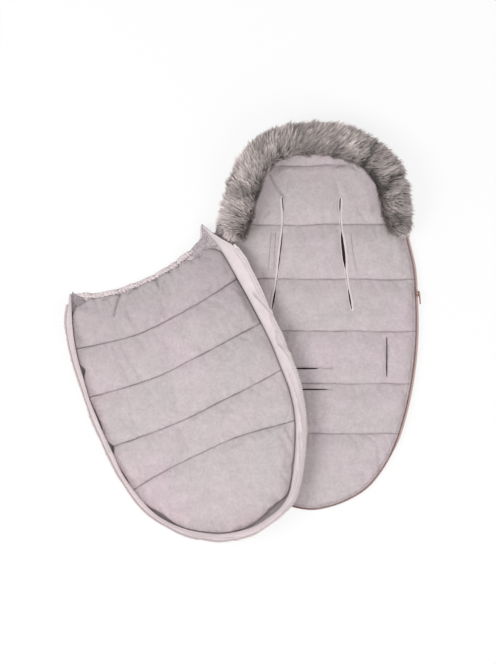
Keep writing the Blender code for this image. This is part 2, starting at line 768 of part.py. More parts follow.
def slider(bench, frame):
    """Two plates joined by the post, with flanges that hold the coils, and a bridge for the pull."""
    top, inner = slider_top(), COIL_RADIUS + SLIDER_CLEARANCE
    slot = TAPE_CLOTH / 2 + SLIDER_CLEARANCE
    body = bench.prism("zip_slider", [slider_plan(0.0, 0.0)], -top, top, "rose_metal")
    coil_way = [slider_plan(SLIDER_FLANGE, CUT_OVERRUN), post_plan()]
    tape_way = [slider_plan(-CUT_OVERRUN, CUT_OVERRUN), post_plan()]
    half, wire = (BRIDGE_LENGTH - BRIDGE_WIRE) / 2, BRIDGE_WIRE / 2
    rise = BRIDGE_ROOM + wire
    arch = [(-half, -wire), (-half, rise / 2), (-half / 2, rise), (half / 2, rise), (half, rise / 2), (half, -wire)]
    bridge = bench.tube("slider_bridge", [(x, COIL_RADIUS, top + z) for x, z in arch], wire, None)
    ways = [
        bench.prism("slider_coil_way", coil_way, -inner, inner, None),
        bench.prism("slider_tape_way", tape_way, -slot, slot, None),
    ]
    for way in ways:
        change(body, way)
    change(body, bridge, "UNION")
    hub = bpy.data.objects.new("slider_travel_centre", None)
    bench.pieces.objects.link(hub)
    hub.location = arc_centre()
    bpy.context.view_layer.update()
    body.parent = hub
    body.matrix_parent_inverse = hub.matrix_world.inverted()
    for part in (body, bridge, *ways):
        part.matrix_world = frame


def pull(bench, frame):
    """The pull: an eye round the bridge and a slotted tab. Its origin is on its axis."""
    half, near, eye_end = PULL_WIDTH / 2, PULL_RIM / 2, PULL_RIM - PULL_EYE_LENGTH
    wide, narrow = (share * half for share in PULL_TIP_SHARES)
    edge = [(near, half), (-PULL_EYE_LENGTH, half), (PULL_RIM - PULL_LENGTH, wide), (-PULL_LENGTH, narrow)]
    start, end = (share * PULL_LENGTH for share in PULL_SLOT_SHARES)
    round_end = PULL_SLOT_WIDTH / 4
    slot = [
        (-start, round_end), (-start - round_end, 2 * round_end),
        (round_end - end, 2 * round_end), (-end, round_end),
    ]
    eye = [(-near, half - PULL_RIM), (eye_end, half - PULL_RIM)]
    loops = [side + [(x, -y) for x, y in reversed(side)] for side in (edge, eye, slot)]
    part = bench.prism("zip_pull", loops, -PULL_THICKNESS / 2, PULL_THICKNESS / 2, "rose_metal")
    part.matrix_world = frame @ Matrix.Translation((0.0, COIL_RADIUS, slider_top() + BRIDGE_ROOM / 2))


# Cover


def to_world(x, y):
    turn, side = math.cos(COVER_ANGLE), math.sin(COVER_ANGLE)
    return COVER_CENTRE[0] + turn * x - side * y, COVER_CENTRE[1] + side * x + turn * y


def drape(x, y):
    """Height of the cover's underside: on the floor, and over the back from just outside its edge."""
    inside = depth_inside(*to_world(x, y), BACK_EDGE)
    return (back_reach() + BINDING_LIP + PLAY) * smooth((inside + DRAPE_RUN + DRAPE_LEAD) / DRAPE_RUN)


def cover_outline():
    """The panel's edge, anticlockwise from its left end; it reaches beyond the hem."""
    half = COVER_WIDTH / 2
    left = [(-left * half, COVER_FOOT_Y + along * COVER_LENGTH) for along, left, _ in COVER_OUTLINE_SHARES]
    right = [(right * half, COVER_FOOT_Y + along * COVER_LENGTH) for along, _, right in COVER_OUTLINE_SHARES]
    return through(left[::-1] + [(COVER_TIP_SHARE * half, COVER_FOOT_Y)] + right)


COVER_EDGE = cover_outline()


def cover_grid():
    """The cover's grid, whose rows bow as its rows of stitching do, and how far each row may swell."""
    marks = np.array([(0.0, 0.0, 0.0), *COVER_SEAM_SHARES, COVER_HEAD_SHARES]) * COVER_LENGTH
    marks[:, 0] += COVER_FOOT_Y
    insets = np.array([0.0, COVER_MARGIN, COVER_MARGIN + WADDING_INSET])
    head = marks[-1, 0] - (insets + (0.0, HEM_WIDTH, HEM_WIDTH))
    rows = end_rows(COVER_FOOT_Y, marks[1, 0], insets) + channel_rows([*marks[1:-1, 0], head[2]])
    rows = np.array(rows + [head[1], head[0]])
    low, high = (np.interp(rows, marks[:, 0], bow) for bow in marks[:, 1:].T)
    left_middle, left_halves = layer_spans(COVER_EDGE, rows + low, insets)
    right_middle, right_halves = layer_spans(COVER_EDGE, rows + high, insets)
    starts = [left_middle - half for half in left_halves]
    ends = [right_middle + half for half in right_halves]
    middle = (starts[0] + ends[0]) / 2
    x, across = grid_columns(middle, [np.minimum(middle - start, end - middle) for start, end in zip(starts, ends)])
    bow = np.where(across < 0, low[:, None], high[:, None]) * across**2
    puff = pillow(rows, marks[:, 0])
    return x, rows[:, None] + bow, np.repeat(puff[:, None], x.shape[1], axis=1)


def cover_panel(bench, grid):
    x, y, puff = grid
    inside = np.maximum(depth_inside(x, y, COVER_EDGE), 0.0)
    loft = quilted_loft(inside, puff, COVER_EDGE_LOFT, COVER_SEAM_LOFT, COVER_CROWN_LOFT, COVER_EDGE_REACH)
    base = drape(x, y)
    layered(bench, "cover", x, y, base, loft)
    top = base + loft + SHELL_CLOTH + PLUSH_CLOTH + 3 * PLAY
    corner_facings(bench, *(within(values, 1) for values in (x, y, top)))


def corner_facings(bench, x, y, top):
    """A cloth triangle over each end of the hem, on the plush."""
    for side, column, way, (along, down) in zip(("left", "right"), (0, -1), (1, -1), CORNER_RUNS):
        corner = np.array([x[-1, column], y[-1, column]])
        plan = [
            corner + (-way * CUT_OVERRUN, CUT_OVERRUN),
            corner + (way * along, CUT_OVERRUN - CORNER_SLOPE_SHARE * along),
            corner + (-way * (CUT_OVERRUN + CORNER_SLOPE_SHARE * down), -down),
        ]
        facing = bench.sheet("cover_corner_" + side, x, y, top, top + FACING_CLOTH, "melange")
        cutter = bench.prism(f"corner_{side}_plan", [plan], 0.0, 2 * back_reach() + HOOD_RISE, None)
        change(facing, cutter, "INTERSECT")


def gusset_wall(grid):
    """The gusset's foot and directions, from its left end round to its right end."""
    x, y, _ = grid
    points = np.stack([x, y, drape(x, y) + SHELL_CLOTH + PLAY + GUSSET_CLOTH / 2], axis=-1)
    left = (points[:0:-1, 0] + points[:0:-1, 1]) / 2
    right = (points[1:, -1] + points[1:, -2]) / 2
    foot = (points[0] + points[1]) / 2
    corners = (foot[:-1] + foot[1:]) / 2
    line = np.vstack([left, corners[:1], foot[2:-2], corners[-1:], right])
    along = distances(line)
    lean = np.arccos(follow(GUSSET_LEAN_SHARES, along / along[-1]))
    return leaning(line[:, :2], line[:, 2], lean)


def gusset_width(wall):
    """How wide the gusset is at each place: drawn in to a tip at both ends."""
    along = distances(wall[0])
    ends = np.minimum(along, along[-1] - along) / GUSSET_TAPER
    return GUSSET_WIDTH * (GUSSET_TIP_SHARE + (1 - GUSSET_TIP_SHARE) * np.clip(ends, 0, 1))


def cover_rim(wall):
    """Plan in the world of the rim of the gusset and its zip, a little outside them."""
    base, rising, _ = wall
    rim = base + rising * (gusset_width(wall) + TAPE_WIDTH + 2 * COIL_RADIUS + 4 * PLAY)[:, None]
    return np.stack(to_world(rim[:, 0], rim[:, 1]), axis=1)


def gusset(bench, wall):
    """The strip that stands round the cover, with the cover's half of the zip on its rim."""
    base, rising, square = wall
    half = GUSSET_CLOTH / 2
    sections = np.array([strip(0.0, wide, -half, half) for wide in gusset_width(wall)])
    bench.swept("cover_gusset", base, rising, square, sections, "pink_cloth")
    keep = base[:, 1] < COVER_FOOT_Y + COVER_ZIP_TOP_SHARE * COVER_LENGTH
    zipped = [values[keep] for values in wall]
    middle = zip_half(bench, "cover", zipped, GUSSET_WIDTH + PLAY)
    both_ends(bench, ("cover_zip_stop", "cover_zip_pin"), (STOP_LENGTH, BOX_LENGTH), zipped, middle)


def hem(bench, grid):
    """The gathered casing along the cover's head edge, and the elastic through it."""
    x, y, _ = grid
    fullest = 1 + HEM_GATHER_SHARE
    z = drape(x, y) + SHELL_CLOTH + 3 * PLAY + HEM_HEIGHT / 2 * fullest
    line = (np.stack([x, y, z], axis=-1)[-2:]).mean(axis=0)
    path = resampled(line[1:-1], 2 * HEM_GATHERS + 1)
    aside = np.column_stack([side_normals(path[:, :2]), np.zeros(len(path))])
    up = np.tile([0.0, 0.0, 1.0], (len(path), 1))
    turn = (np.arange(HEM_SIDES) + 0.5) / HEM_SIDES * math.tau
    oval = np.stack([np.cos(turn) * HEM_WIDTH, np.sin(turn) * HEM_HEIGHT], axis=1) / 2
    gather = 1.0 + HEM_GATHER_SHARE * (-1.0) ** np.arange(len(path))
    casing = bench.swept("cover_hem", path, aside, up, oval * gather[:, None, None], "pink_cloth")
    wide, thick = ELASTIC_WIDTH / 2, ELASTIC_THICKNESS / 2
    bench.swept("cover_elastic", path, aside, up, strip(-wide, wide, -thick, thick), "elastic")
    longer = path.copy()
    longer[[0, -1]] += CUT_OVERRUN * unit(path[[0, -1]] - path[[1, -2]])
    bore = strip(-wide - PLAY, wide + PLAY, -thick - PLAY, thick + PLAY)
    change(casing, bench.swept("elastic_way", longer, aside, up, bore, None))


def cover(bench, grid, wall):
    """The cover's pieces and cutters, made in its own frame and then laid in place."""
    before = set(bpy.data.objects)
    cover_panel(bench, grid)
    gusset(bench, wall)
    hem(bench, grid)
    lie = Matrix.Translation((*COVER_CENTRE, 0.0)) @ Matrix.Rotation(COVER_ANGLE, 4, "Z")
    for part in set(bpy.data.objects) - before:
        part.matrix_world = lie


def main():
    bench = Bench()
    grid, laid = back_grid(), cover_grid()
    wall = gusset_wall(laid)
    back_panel(bench, grid)
    bindings(bench)
    ruff(bench, grid, cover_rim(wall))
    frame = slider_frame(back_zip(bench))
    slider(bench, frame)
    pull(bench, frame)
    cover(bench, laid, wall)
    bpy.context.view_layer.update()


main()
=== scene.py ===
"""The looks of a stroller footmuff, unzipped and laid open, around its CAD frame.

The back pad lies on the floor, plush side up, with a fur ruff on its hood. The unzipped cover lies inside
up across its left side, with a wall standing round it and a gathered hem. Metres, +Z up, -Y is the foot.
"""

import math

import bpy
import numpy as np
from mathutils import Matrix, Vector
from mathutils.kdtree import KDTree


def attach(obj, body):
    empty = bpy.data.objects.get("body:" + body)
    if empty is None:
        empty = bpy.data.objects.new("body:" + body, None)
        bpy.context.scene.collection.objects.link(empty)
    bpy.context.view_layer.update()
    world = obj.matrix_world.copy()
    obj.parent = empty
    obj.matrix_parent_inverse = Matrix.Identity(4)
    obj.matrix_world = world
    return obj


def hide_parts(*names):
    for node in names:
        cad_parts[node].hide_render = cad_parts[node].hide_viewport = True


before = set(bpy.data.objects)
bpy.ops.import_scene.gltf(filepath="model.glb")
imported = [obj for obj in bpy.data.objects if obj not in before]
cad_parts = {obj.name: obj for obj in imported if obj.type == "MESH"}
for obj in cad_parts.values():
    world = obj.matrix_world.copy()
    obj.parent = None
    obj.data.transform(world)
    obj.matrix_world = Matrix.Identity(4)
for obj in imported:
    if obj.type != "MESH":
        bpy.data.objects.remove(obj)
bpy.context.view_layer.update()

# The sizes of the frame that the soft pieces are cut to

SHELL_CLOTH, PLUSH_CLOTH, PLAY = 0.0012, 0.0025, 0.0003
BACK_LENGTH, BACK_WIDTH, BACK_MARGIN = 0.902, 0.520, 0.004
BACK_ARC = (0.899, 0.007, -0.567, 0.541)
FOOT_OUTLINE = ((0.244, 0.916), (0.492, 0.795), (0.738, 0.611), (0.862, 0.439), (0.964, 0.204))
HOOD_OUTLINE = (
    (0.140, 0.905, 0.947), (0.343, 0.812, 0.890), (0.556, 0.706, 0.820), (0.720, 0.600, 0.715),
    (0.870, 0.469, 0.535), (0.966, 0.270, 0.310),
)
BACK_SEAMS = np.array((-0.588, -0.317, -0.033, 0.248, 0.541, 0.860)) * BACK_LENGTH / 2
BACK_CELLS = np.array([-BACK_LENGTH / 2, *BACK_SEAMS, BACK_LENGTH / 2])
# How high a pad is at its edge, on a seam and between seams, and how far in from its edge it is full
BACK_LOFTS = (0.0040, 0.0065, 0.0140, 0.035)
# Where the right edge bulges: height, length and how far
EDGE_BULGE = (0.135, 0.045, 0.0030)
# The yoke, the part of the hood whose seam is sewn: its middle, half width and half the width of its stitches
YOKE = (0.006, 0.080, 0.084)
# How far in the topstitching runs, how full a channel is as sewn, how thin a pad may be, and how fine the
# grids of the pads and of the outer cloths are
TOPSTITCH_IN, PUFF, THINNEST, PAD_GRID, CLOTH_GRID = 0.0065, 0.86, 0.0008, 0.0036, 0.009
# How much wider than it gapes a slit is cut, and how much wider it is bound
SLIT_CUT, SLIT_BOUND = 0.0008, 0.0010
HOOD_RISE, HOOD_REACH, HOOD_START, HOOD_FULL = 0.046, 0.085, 0.228, 0.312
COVER_TURN, COVER_PLACE = math.radians(25.4), (-0.3001, -0.1757)
COVER_LENGTH, COVER_WIDTH, COVER_FOOT, COVER_MARGIN = 0.667, 0.472, -0.357, 0.005
COVER_OUTLINE = (
    (0.008, 0.130, 0.212), (0.023, 0.270, 0.373), (0.054, 0.438, 0.513), (0.100, 0.620, 0.614),
    (0.163, 0.782, 0.725), (0.235, 0.893, 0.838), (0.318, 0.955, 0.936), (0.406, 0.984, 0.992),
    (0.489, 0.990, 1.010), (0.574, 0.984, 1.025), (0.673, 0.955, 1.023), (0.765, 0.911, 1.012),
    (0.847, 0.870, 0.997), (0.919, 0.813, 0.982), (0.985, 0.741, 0.964), (1.038, 0.674, 0.931),
    (1.090, 0.607, 0.894), (1.140, 0.546, 0.860),
)
# Each row of stitching on the cover: its middle, and how much higher its left and right ends are
COVER_SEAMS = np.array((
    (0.330, -0.016, -0.039), (0.468, 0.022, 0.012), (0.651, 0.039, 0.015), (0.819, 0.052, 0.029),
    (1.003, 0.058, 0.078),
)) * COVER_LENGTH
COVER_LOFTS = (0.0085, 0.0065, 0.0150, 0.036)
# How far the elastic draws the cover's head edge down, across it
HEAD_DIP = (
    (-1.0, -0.002), (-0.83, -0.0015), (-0.69, 0.0046), (-0.53, 0.0063), (0.0, 0.0060), (0.28, 0.0075),
    (0.45, 0.0106), (0.60, 0.0125), (0.70, 0.0155), (0.85, 0.0158), (0.89, 0.0140), (0.93, 0.0030),
    (0.96, -0.0040), (1.0, -0.0020),
)
DRAPE_RISE, DRAPE_RUN, DRAPE_LEAD = 0.0196, 0.080, 0.014
# Folds in the wall: their points (distance along it, share of its height) and depth, which also sets their painted
# shade
WALL_FOLDS = (
    (((1.575, 0.74), (1.520, 0.86), (1.460, 0.80)), 0.0030),
    (((1.464, 0.46), (1.446, 0.62), (1.420, 0.84), (1.402, 0.95)), 0.0042),
    (((1.407, 0.88), (1.394, 0.80), (1.382, 0.70)), 0.0024),
    (((1.362, 0.76), (1.334, 0.52), (1.316, 0.80), (1.294, 0.95)), 0.0042),
    (((1.250, 0.45), (1.200, 0.62), (1.130, 0.72), (1.090, 0.90)), 0.0036),
    (((1.110, 0.42), (1.060, 0.60), (1.010, 0.66), (0.970, 0.86)), 0.0036),
    (((1.200, 0.86), (1.150, 0.80), (1.120, 0.84)), 0.0026),
    (((1.020, 0.40), (0.980, 0.52), (0.930, 0.78)), 0.0030),
    (((0.800, 0.92), (0.745, 0.70), (0.700, 0.92)), 0.0022),
    (((0.400, 0.92), (0.340, 0.62), (0.300, 0.92)), 0.0018),
    (((0.160, 0.95), (0.120, 0.62), (0.090, 0.92)), 0.0018),
)
# The wall's height and cloth, how low it starts at its two ends, and how far along it it rises from there
WALL_WIDTH, WALL_CLOTH, WALL_TIP, WALL_TAPER = 0.044, 0.0024, 0.26, 0.075
# How far the wall leans out: the cosine of its angle to the floor, along it
WALL_LEAN = (
    (0.0, 0.24), (0.03, 0.30), (0.06, 0.24), (0.10, 0.18), (0.15, 0.11), (0.21, 0.04), (0.29, 0.06),
    (0.37, 0.10), (0.41, 0.22), (0.45, 0.31), (0.50, 0.27), (0.55, 0.22), (0.575, 0.28), (0.60, 0.38),
    (0.645, 0.43), (0.70, 0.46), (0.74, 0.57), (0.78, 0.58), (0.83, 0.66), (0.89, 0.80), (0.925, 0.88),
    (0.945, 0.80), (0.965, 0.50), (0.985, 0.30), (1.0, 0.24),
)
# How much steeper the wall is at its foot than halfway up, and flatter at its rim, in radians
WALL_CURL = (
    (0.0, 0.45), (0.08, 0.70), (0.32, 0.78), (0.45, 0.55), (0.55, 0.36), (0.62, 0.10), (0.68, 0.0), (1.0, 0.0),
)
# How much the wall is paled by painted light where it is turned to the light, along it
WALL_PALE = ((0.0, 0.20), (0.06, 0.58), (0.36, 0.52), (0.50, 0.30), (0.60, 0.16), (0.75, 0.08), (1.0, 0.03))
# How far the zip's tape flares out from the wall's rim, along it
TAPE_FLARE = ((0.0, 0.12), (0.53, 0.12), (0.58, 0.50), (0.78, 0.50), (0.84, 0.12), (1.0, 0.10))
TAPE_WIDTH, TAPE_CLOTH, TAPE_LEAN, TAPE_HIDDEN = 0.011, 0.0008, math.radians(72), math.radians(92)
# How far apart stitches, the stays' stitches and the zip's teeth are
STITCH_PITCH, STAY_PITCH, TOOTH_PITCH = 0.0036, 0.0029, 0.0044
HEM_WIDTH, HEM_HEIGHT, HEM_ENDS = 0.0130, 0.0064, (-0.133, 0.167)
# How far below the cover's head edge the hem's middle and the plush's end are, half of the hem's width, and
# how high its middle lies
HEM_MIDDLE, HEM_TUCK, HEM_HALF = HEM_WIDTH * 0.41, HEM_WIDTH * 0.82, HEM_WIDTH * 0.50
HEM_SUNK = HEM_HEIGHT * 0.56
# Each harness slit's openings: how far along it they start and end, and how wide they are
HARNESS = ((0.0, 0.131, 0.0070), (0.309, 0.640, 0.0100), (0.815, 1.0, 0.0090))
HARNESS_TOP, HARNESS_FOOT = (0.072, 0.312), (0.099, 0.037)
# How far each is drawn towards the middle, along it
HARNESS_PULL = {
    -1: (
        (0.0, 0.0010), (0.12, 0.0045), (0.24, 0.0055), (0.38, 0.0045), (0.55, 0.0034), (0.8, 0.0034), (1.0, 0.0030),
    ),
    1: ((0.0, 0.0010), (0.10, 0.0020), (0.20, 0.0024), (0.35, 0.0010), (0.5, 0.0), (1.0, 0.0)),
}

# How far each slit's openings gape as laid, its two lips' radii (away from the middle, then the other)
LIPS = {
    "harness_binding_left": ((0.20, 0.14, 0.34), 0.0027, 0.0006),
    "harness_binding_right": ((0.30, 0.62, 0.26), 0.0030, 0.0011),
    "crotch_binding_upper": ((0.30,), 0.0008, 0.0008), "crotch_binding_lower": ((0.26,), 0.0008, 0.0008),
    "belt_binding_left": ((0.20,), 0.0008, 0.0008), "belt_binding_right": ((0.22,), 0.0008, 0.0008),
}
# Creases in the back and in the cover: their points, depth, width and how much painted shade darkens them
BACK_CREASES = (
    (((-0.105, 0.372), (-0.088, 0.340), (-0.068, 0.314)), 0.0052, 0.0036, 0.72),
    (((0.004, 0.023), (0.050, 0.026), (0.100, 0.0275)), 0.0012, 0.0040, 0.10),
    (((0.158, 0.330), (0.170, 0.300), (0.176, 0.272)), 0.0034, 0.010, 0.10),
    (((0.140, 0.325), (0.150, 0.300), (0.153, 0.280)), 0.0022, 0.006, 0.08),
    (((0.186, 0.262), (0.196, 0.205), (0.200, 0.150)), 0.0020, 0.008, 0.05),
    (((0.222, 0.235), (0.226, 0.180), (0.222, 0.130)), 0.0018, 0.007, 0.05),
    (((-0.112, 0.352), (-0.130, 0.318), (-0.148, 0.270)), 0.0014, 0.008, 0.03),
    (((0.062, 0.384), (0.072, 0.388), (0.081, 0.387)), 0.0020, 0.002, 0.45),
    (((-0.178, 0.212), (-0.168, 0.180), (-0.150, 0.140)), 0.0018, 0.010, 0.04),
    (((0.206, -0.020), (0.216, -0.070), (0.212, -0.130)), 0.0012, 0.007, 0.03),
)
COVER_CREASES = (
    (((-0.042, 0.297), (-0.060, 0.278), (-0.076, 0.258)), 0.0050, 0.0036, 0.80),
    (((0.051, 0.296), (0.051, 0.280), (0.049, 0.268)), 0.0042, 0.0030, 0.70),
    (((0.058, 0.268), (0.0582, 0.257), (0.0585, 0.246)), 0.0020, 0.0030, 0.25),
    (((-0.070, 0.304), (-0.077, 0.303), (-0.086, 0.302)), 0.0026, 0.0026, 0.50),
    (((0.000, 0.295), (-0.010, 0.293), (-0.022, 0.290)), 0.0026, 0.0026, 0.50),
    (((0.167, 0.306), (0.169, 0.300), (0.172, 0.294)), 0.0026, 0.0026, 0.55),
    (((0.110, 0.262), (0.150, 0.256), (0.190, 0.240)), 0.0012, 0.0100, 0.02),
    (((-0.150, 0.140), (-0.100, 0.128), (-0.060, 0.132)), 0.0012, 0.0090, 0.02),
    (((-0.196, 0.250), (-0.170, 0.236), (-0.150, 0.230)), 0.0014, 0.0070, 0.03),
    (((0.214, 0.236), (0.196, 0.216), (0.186, 0.190)), 0.0016, 0.0080, 0.03),
    (((0.224, 0.120), (0.200, 0.104), (0.188, 0.080)), 0.0016, 0.0080, 0.03),
)
# Stitched stays beside the harness slits
STAYS = (
    ((-0.0971, 0.2252), (-0.1010, 0.180), (-0.1044, 0.1349)),
    ((-0.0866, 0.2245), (-0.0888, 0.180), (-0.0913, 0.1342)),
    ((0.0966, 0.2208), (0.1011, 0.1793), (0.1098, 0.1335)),
)

# The fur's half width and half height, how high its middle lies, and how fine its grid is along and round it
FUR_WIDE, FUR_TALL, FUR_LIFT, FUR_STEPS, FUR_SIDES = 0.0330, 0.0240, 0.0176, 241, 26
# How high up the back its two ends are, how far in they turn, and its longest hair
FUR_FOOT, FUR_INWARD, HAIR_LONG = 0.226, 0.084, 0.033
# Tufts per square metre, how ruffled they are and how finely, and how close to the floor hair comes
HAIR_DENSITY, QUICK_DENSITY, HAIR_RUFFLE, HAIR_CLUMP, FLOOR_GAP = 128000.0, 40000.0, 0.40, 44.0, 0.0004
# Along the fur, from its left end to its right: how thick it is, how far its middle lies inside the pad's
# edge, how long its hair is, how far the hair is swept towards the right end, and how pale it is
FUR_GIRTH = (
    (0.0, 0.90), (0.03, 1.02), (0.08, 1.02), (0.25, 0.97), (0.36, 0.92), (0.50, 0.95), (0.62, 0.97),
    (0.70, 0.90), (0.78, 0.98), (0.84, 0.91), (0.92, 0.90), (0.97, 0.82), (1.0, 0.62),
)
FUR_INSET = ((0.0, 0.50), (0.05, 0.38), (0.10, 0.24), (0.25, 0.0), (0.80, 0.0), (0.90, 0.06), (1.0, 0.15))
FUR_LONG = ((0.0, 0.80), (0.15, 0.90), (0.35, 0.98), (0.60, 1.02), (0.80, 0.94), (1.0, 0.74))
FUR_SWEEP = (
    (0.0, -1.4), (0.05, -0.5), (0.11, 0.25), (0.25, 0.55), (0.5, 0.80), (0.7, 0.55), (0.85, 0.25),
    (0.95, 0.6), (1.0, 1.3),
)
FUR_SHADE = (
    (0.0, 0.96), (0.06, 1.06), (0.15, 1.08), (0.4, 0.95), (0.6, 0.95), (0.75, 0.95), (0.92, 0.90), (1.0, 0.80),
)
# Where the fur parts, and how deep; its hair is shorter there and darkened with painted shade
FUR_CREASES = (
    (((0.146, 0.436), (0.128, 0.412), (0.121, 0.384)), 1.0),
    (((0.140, 0.372), (0.156, 0.345), (0.168, 0.322)), 1.0),
    (((0.166, 0.316), (0.178, 0.342), (0.196, 0.360), (0.216, 0.358)), 1.0),
    (((0.197, 0.272), (0.200, 0.263), (0.203, 0.254)), 1.0),
    (((-0.119, 0.458), (-0.112, 0.440), (-0.108, 0.420)), 0.35),
    (((-0.076, 0.396), (-0.082, 0.410), (-0.087, 0.422)), 0.8),
)
FUR_RUNS = (
    ("fur_left", 0.0, 0.25), ("fur_crown_left", 0.25, 0.5), ("fur_crown_right", 0.5, 0.75), ("fur_right", 0.75, 1.0),
)
# Where the elastic is knotted along the hem
HEM_KNOTS = np.array((-0.105, -0.044, 0.001, 0.053, 0.091, 0.116, 0.158))
# Soft folds that run down from the hem: place along it, length, lean, depth and width
HEM_FOLDS = (
    (-0.118, 0.030, -0.010, 0.0022, 0.0050), (-0.098, 0.022, 0.004, 0.0014, 0.004),
    (-0.012, 0.034, 0.006, 0.0018, 0.007), (0.026, 0.030, -0.004, 0.0014, 0.006),
    (0.082, 0.034, -0.010, 0.0020, 0.006), (0.112, 0.030, 0.006, 0.0022, 0.005),
    (0.140, 0.040, -0.012, 0.0020, 0.006),
)
# Where the cover's plush is drawn back from its two tips: place and reach
CORNER_PULLS = ((-0.152, 0.358, 0.066), (0.216, 0.372, 0.110))
# Where it sinks beside the wall, with painted shade there: path and reach
SIDE_GAPS = (
    (((0.226, 0.196), (0.236, 0.156), (0.240, 0.105)), 0.0125),
    (((-0.020, -0.352), (0.030, -0.350), (0.080, -0.338)), 0.0060),
)
# Where it is nipped in at one seam on its left side: height, length along the rim, and how far
SIDE_NIP = (0.167, 0.011, 0.0115)
# Where its rim draws back from the wall: place, how far, and along what length of it
RIM_BITES = (
    ((-0.229, 0.040), (0.0080, 0.0), 0.042), ((-0.223, -0.032), (0.0150, 0.0), 0.015),
    ((-0.215, -0.110), (0.0060, 0.0015), 0.030), ((-0.192, -0.236), (0.0098, 0.0064), 0.038),
    ((0.080, -0.345), (-0.0020, 0.0130), 0.036), ((0.030, -0.352), (0.0, 0.0055), 0.036),
    ((0.162, -0.262), (-0.0045, 0.0), 0.010), ((-0.228, 0.235), (0.0035, 0.0), 0.026),
)
# The outlines of the flecked facings at the cover's two tips
FACINGS = {
    "cover_facing_left": (
        (-0.1435, 0.3528), (-0.1416, 0.3422), (-0.1362, 0.3355), (-0.1280, 0.3280), (-0.1280, 0.3120),
        (-0.1400, 0.3050), (-0.1580, 0.3000), (-0.1690, 0.2950), (-0.1660, 0.3102), (-0.1581, 0.3321),
        (-0.1498, 0.3454),
    ),
    "cover_facing_right": (
        (0.2105, 0.3655), (0.2194, 0.3372), (0.2220, 0.3011), (0.2100, 0.2960), (0.1954, 0.2960), (0.1811, 0.2940),
        (0.1640, 0.2960), (0.1560, 0.3080), (0.1581, 0.3191), (0.1689, 0.3250), (0.1791, 0.3298), (0.1896, 0.3324),
        (0.1977, 0.3372), (0.2051, 0.3526),
    ),
}
# The picture: its width in pixels, where its middle and the frame's origin are in it, and a pixel's size
PICTURE_WIDTH, PICTURE_MIDDLE, ORIGIN, PIXEL = 496, (248, 332), (311, 325), 0.00244
# The camera's sensor in millimetres, and how high the camera hangs
SENSOR, CAMERA_HEIGHT = 36.0, 6.0
# The softboxes: place, size and power
SOFTBOXES = (((-2.0, -0.3, 2.7), 1.7, 48.0), ((1.5, -2.1, 2.7), 2.4, 39.5))
# The part of the floor that the pad hides: a dark sheet of painted shade that shows through the slits
SHADE_UNDER_PAD = (
    (-0.2, -0.2), (0.2, -0.2), (0.2, 0.02), (0.11, 0.02), (0.11, 0.32), (-0.11, 0.32), (-0.11, 0.02), (-0.2, 0.02),
)


def smooth(share):
    share = np.clip(share, 0.0, 1.0)
    return share * share * (3.0 - 2.0 * share)


def follow(table, along):
    return np.interp(along, *np.array(table).T)


def groove(gap, width):
    return np.exp(-((gap / width) ** 2))


def fading(gap, reach):
    return np.exp(-np.maximum(gap, 0) / reach)


def stacked(*axes):
    return np.stack(np.broadcast_arrays(*axes), axis=-1)


def unit(vectors):
    return vectors / np.maximum(np.linalg.norm(vectors, axis=-1), 1e-12)[..., None]


def through(points, closed=False, steps=8):
    """A smooth curve through the points."""
    points = np.asarray(points, float)
    if closed:
        points = np.vstack([points[-1:], points, points[:2]])
    else:
        points = np.vstack([2 * points[0] - points[1], points, 2 * points[-1] - points[-2]])
    gaps = np.linalg.norm(np.diff(points, axis=0), axis=1)[:, None]
    slopes = np.diff(points, axis=0) / gaps
    tangents = (slopes[:-1] * gaps[1:] + slopes[1:] * gaps[:-1]) / (gaps[:-1] + gaps[1:])
    step = np.arange(steps)[:, None] / steps
    bend = step**2 * (3 - 2 * step)
    leave, arrive = step * (1 - step) ** 2, step**2 * (1 - step)
    curve = [
        points[i] * (1 - bend) + points[i + 1] * bend
        + gaps[i] * (tangents[i - 1] * leave - tangents[i] * arrive)
        for i in range(1, len(points) - 2)
    ]
    return np.vstack(curve if closed else curve + [points[-2:-1]])


def distances(path):
    return np.concatenate([[0.0], np.cumsum(np.linalg.norm(np.diff(path, axis=0), axis=1))])


def resampled(path, count):
    along = distances(path)
    places = np.linspace(0.0, along[-1], count)
    return np.stack([np.interp(places, along, axis) for axis in path.T], axis=1)


def right_of(path, closed=False):
    """Unit vectors square to a flat path, on its right as it is walked."""
    ahead = np.gradient(np.vstack([path[-1:], path, path[:1]]) if closed else path, axis=0)
    ahead = unit(ahead[1:-1] if closed else ahead)
    return np.stack([ahead[:, 1], -ahead[:, 0]], axis=1)


def away_from(x, y, path, closed=False):
    """How far each point is from a path."""
    start = path if closed else path[:-1]
    run = np.roll(path, -1, axis=0) - path if closed else np.diff(path, axis=0)
    flat = np.stack([np.ravel(x), np.ravel(y)], axis=1)
    nearest = np.full(len(flat), np.inf)
    for (sx, sy), (rx, ry) in zip(start, run):
        share = np.clip(((flat[:, 0] - sx) * rx + (flat[:, 1] - sy) * ry) / (rx * rx + ry * ry + 1e-18), 0, 1)
        gap = np.hypot(flat[:, 0] - sx - share * rx, flat[:, 1] - sy - share * ry)
        nearest = np.minimum(nearest, gap)
    return nearest.reshape(np.shape(x))


def depth_inside(x, y, outline):
    """How far inside a closed outline each point is, and less than zero outside it."""
    nearest = away_from(x, y, outline, closed=True)
    inside = np.zeros(np.shape(x), bool)
    for (sx, sy), (ex, ey) in zip(outline, np.roll(outline, -1, axis=0)):
        if sy != ey:
            crosses = (sy > y) != (ey > y)
            inside ^= crosses & (x < sx + (y - sy) / (ey - sy) * (ex - sx))
    return np.where(inside, nearest, -nearest)


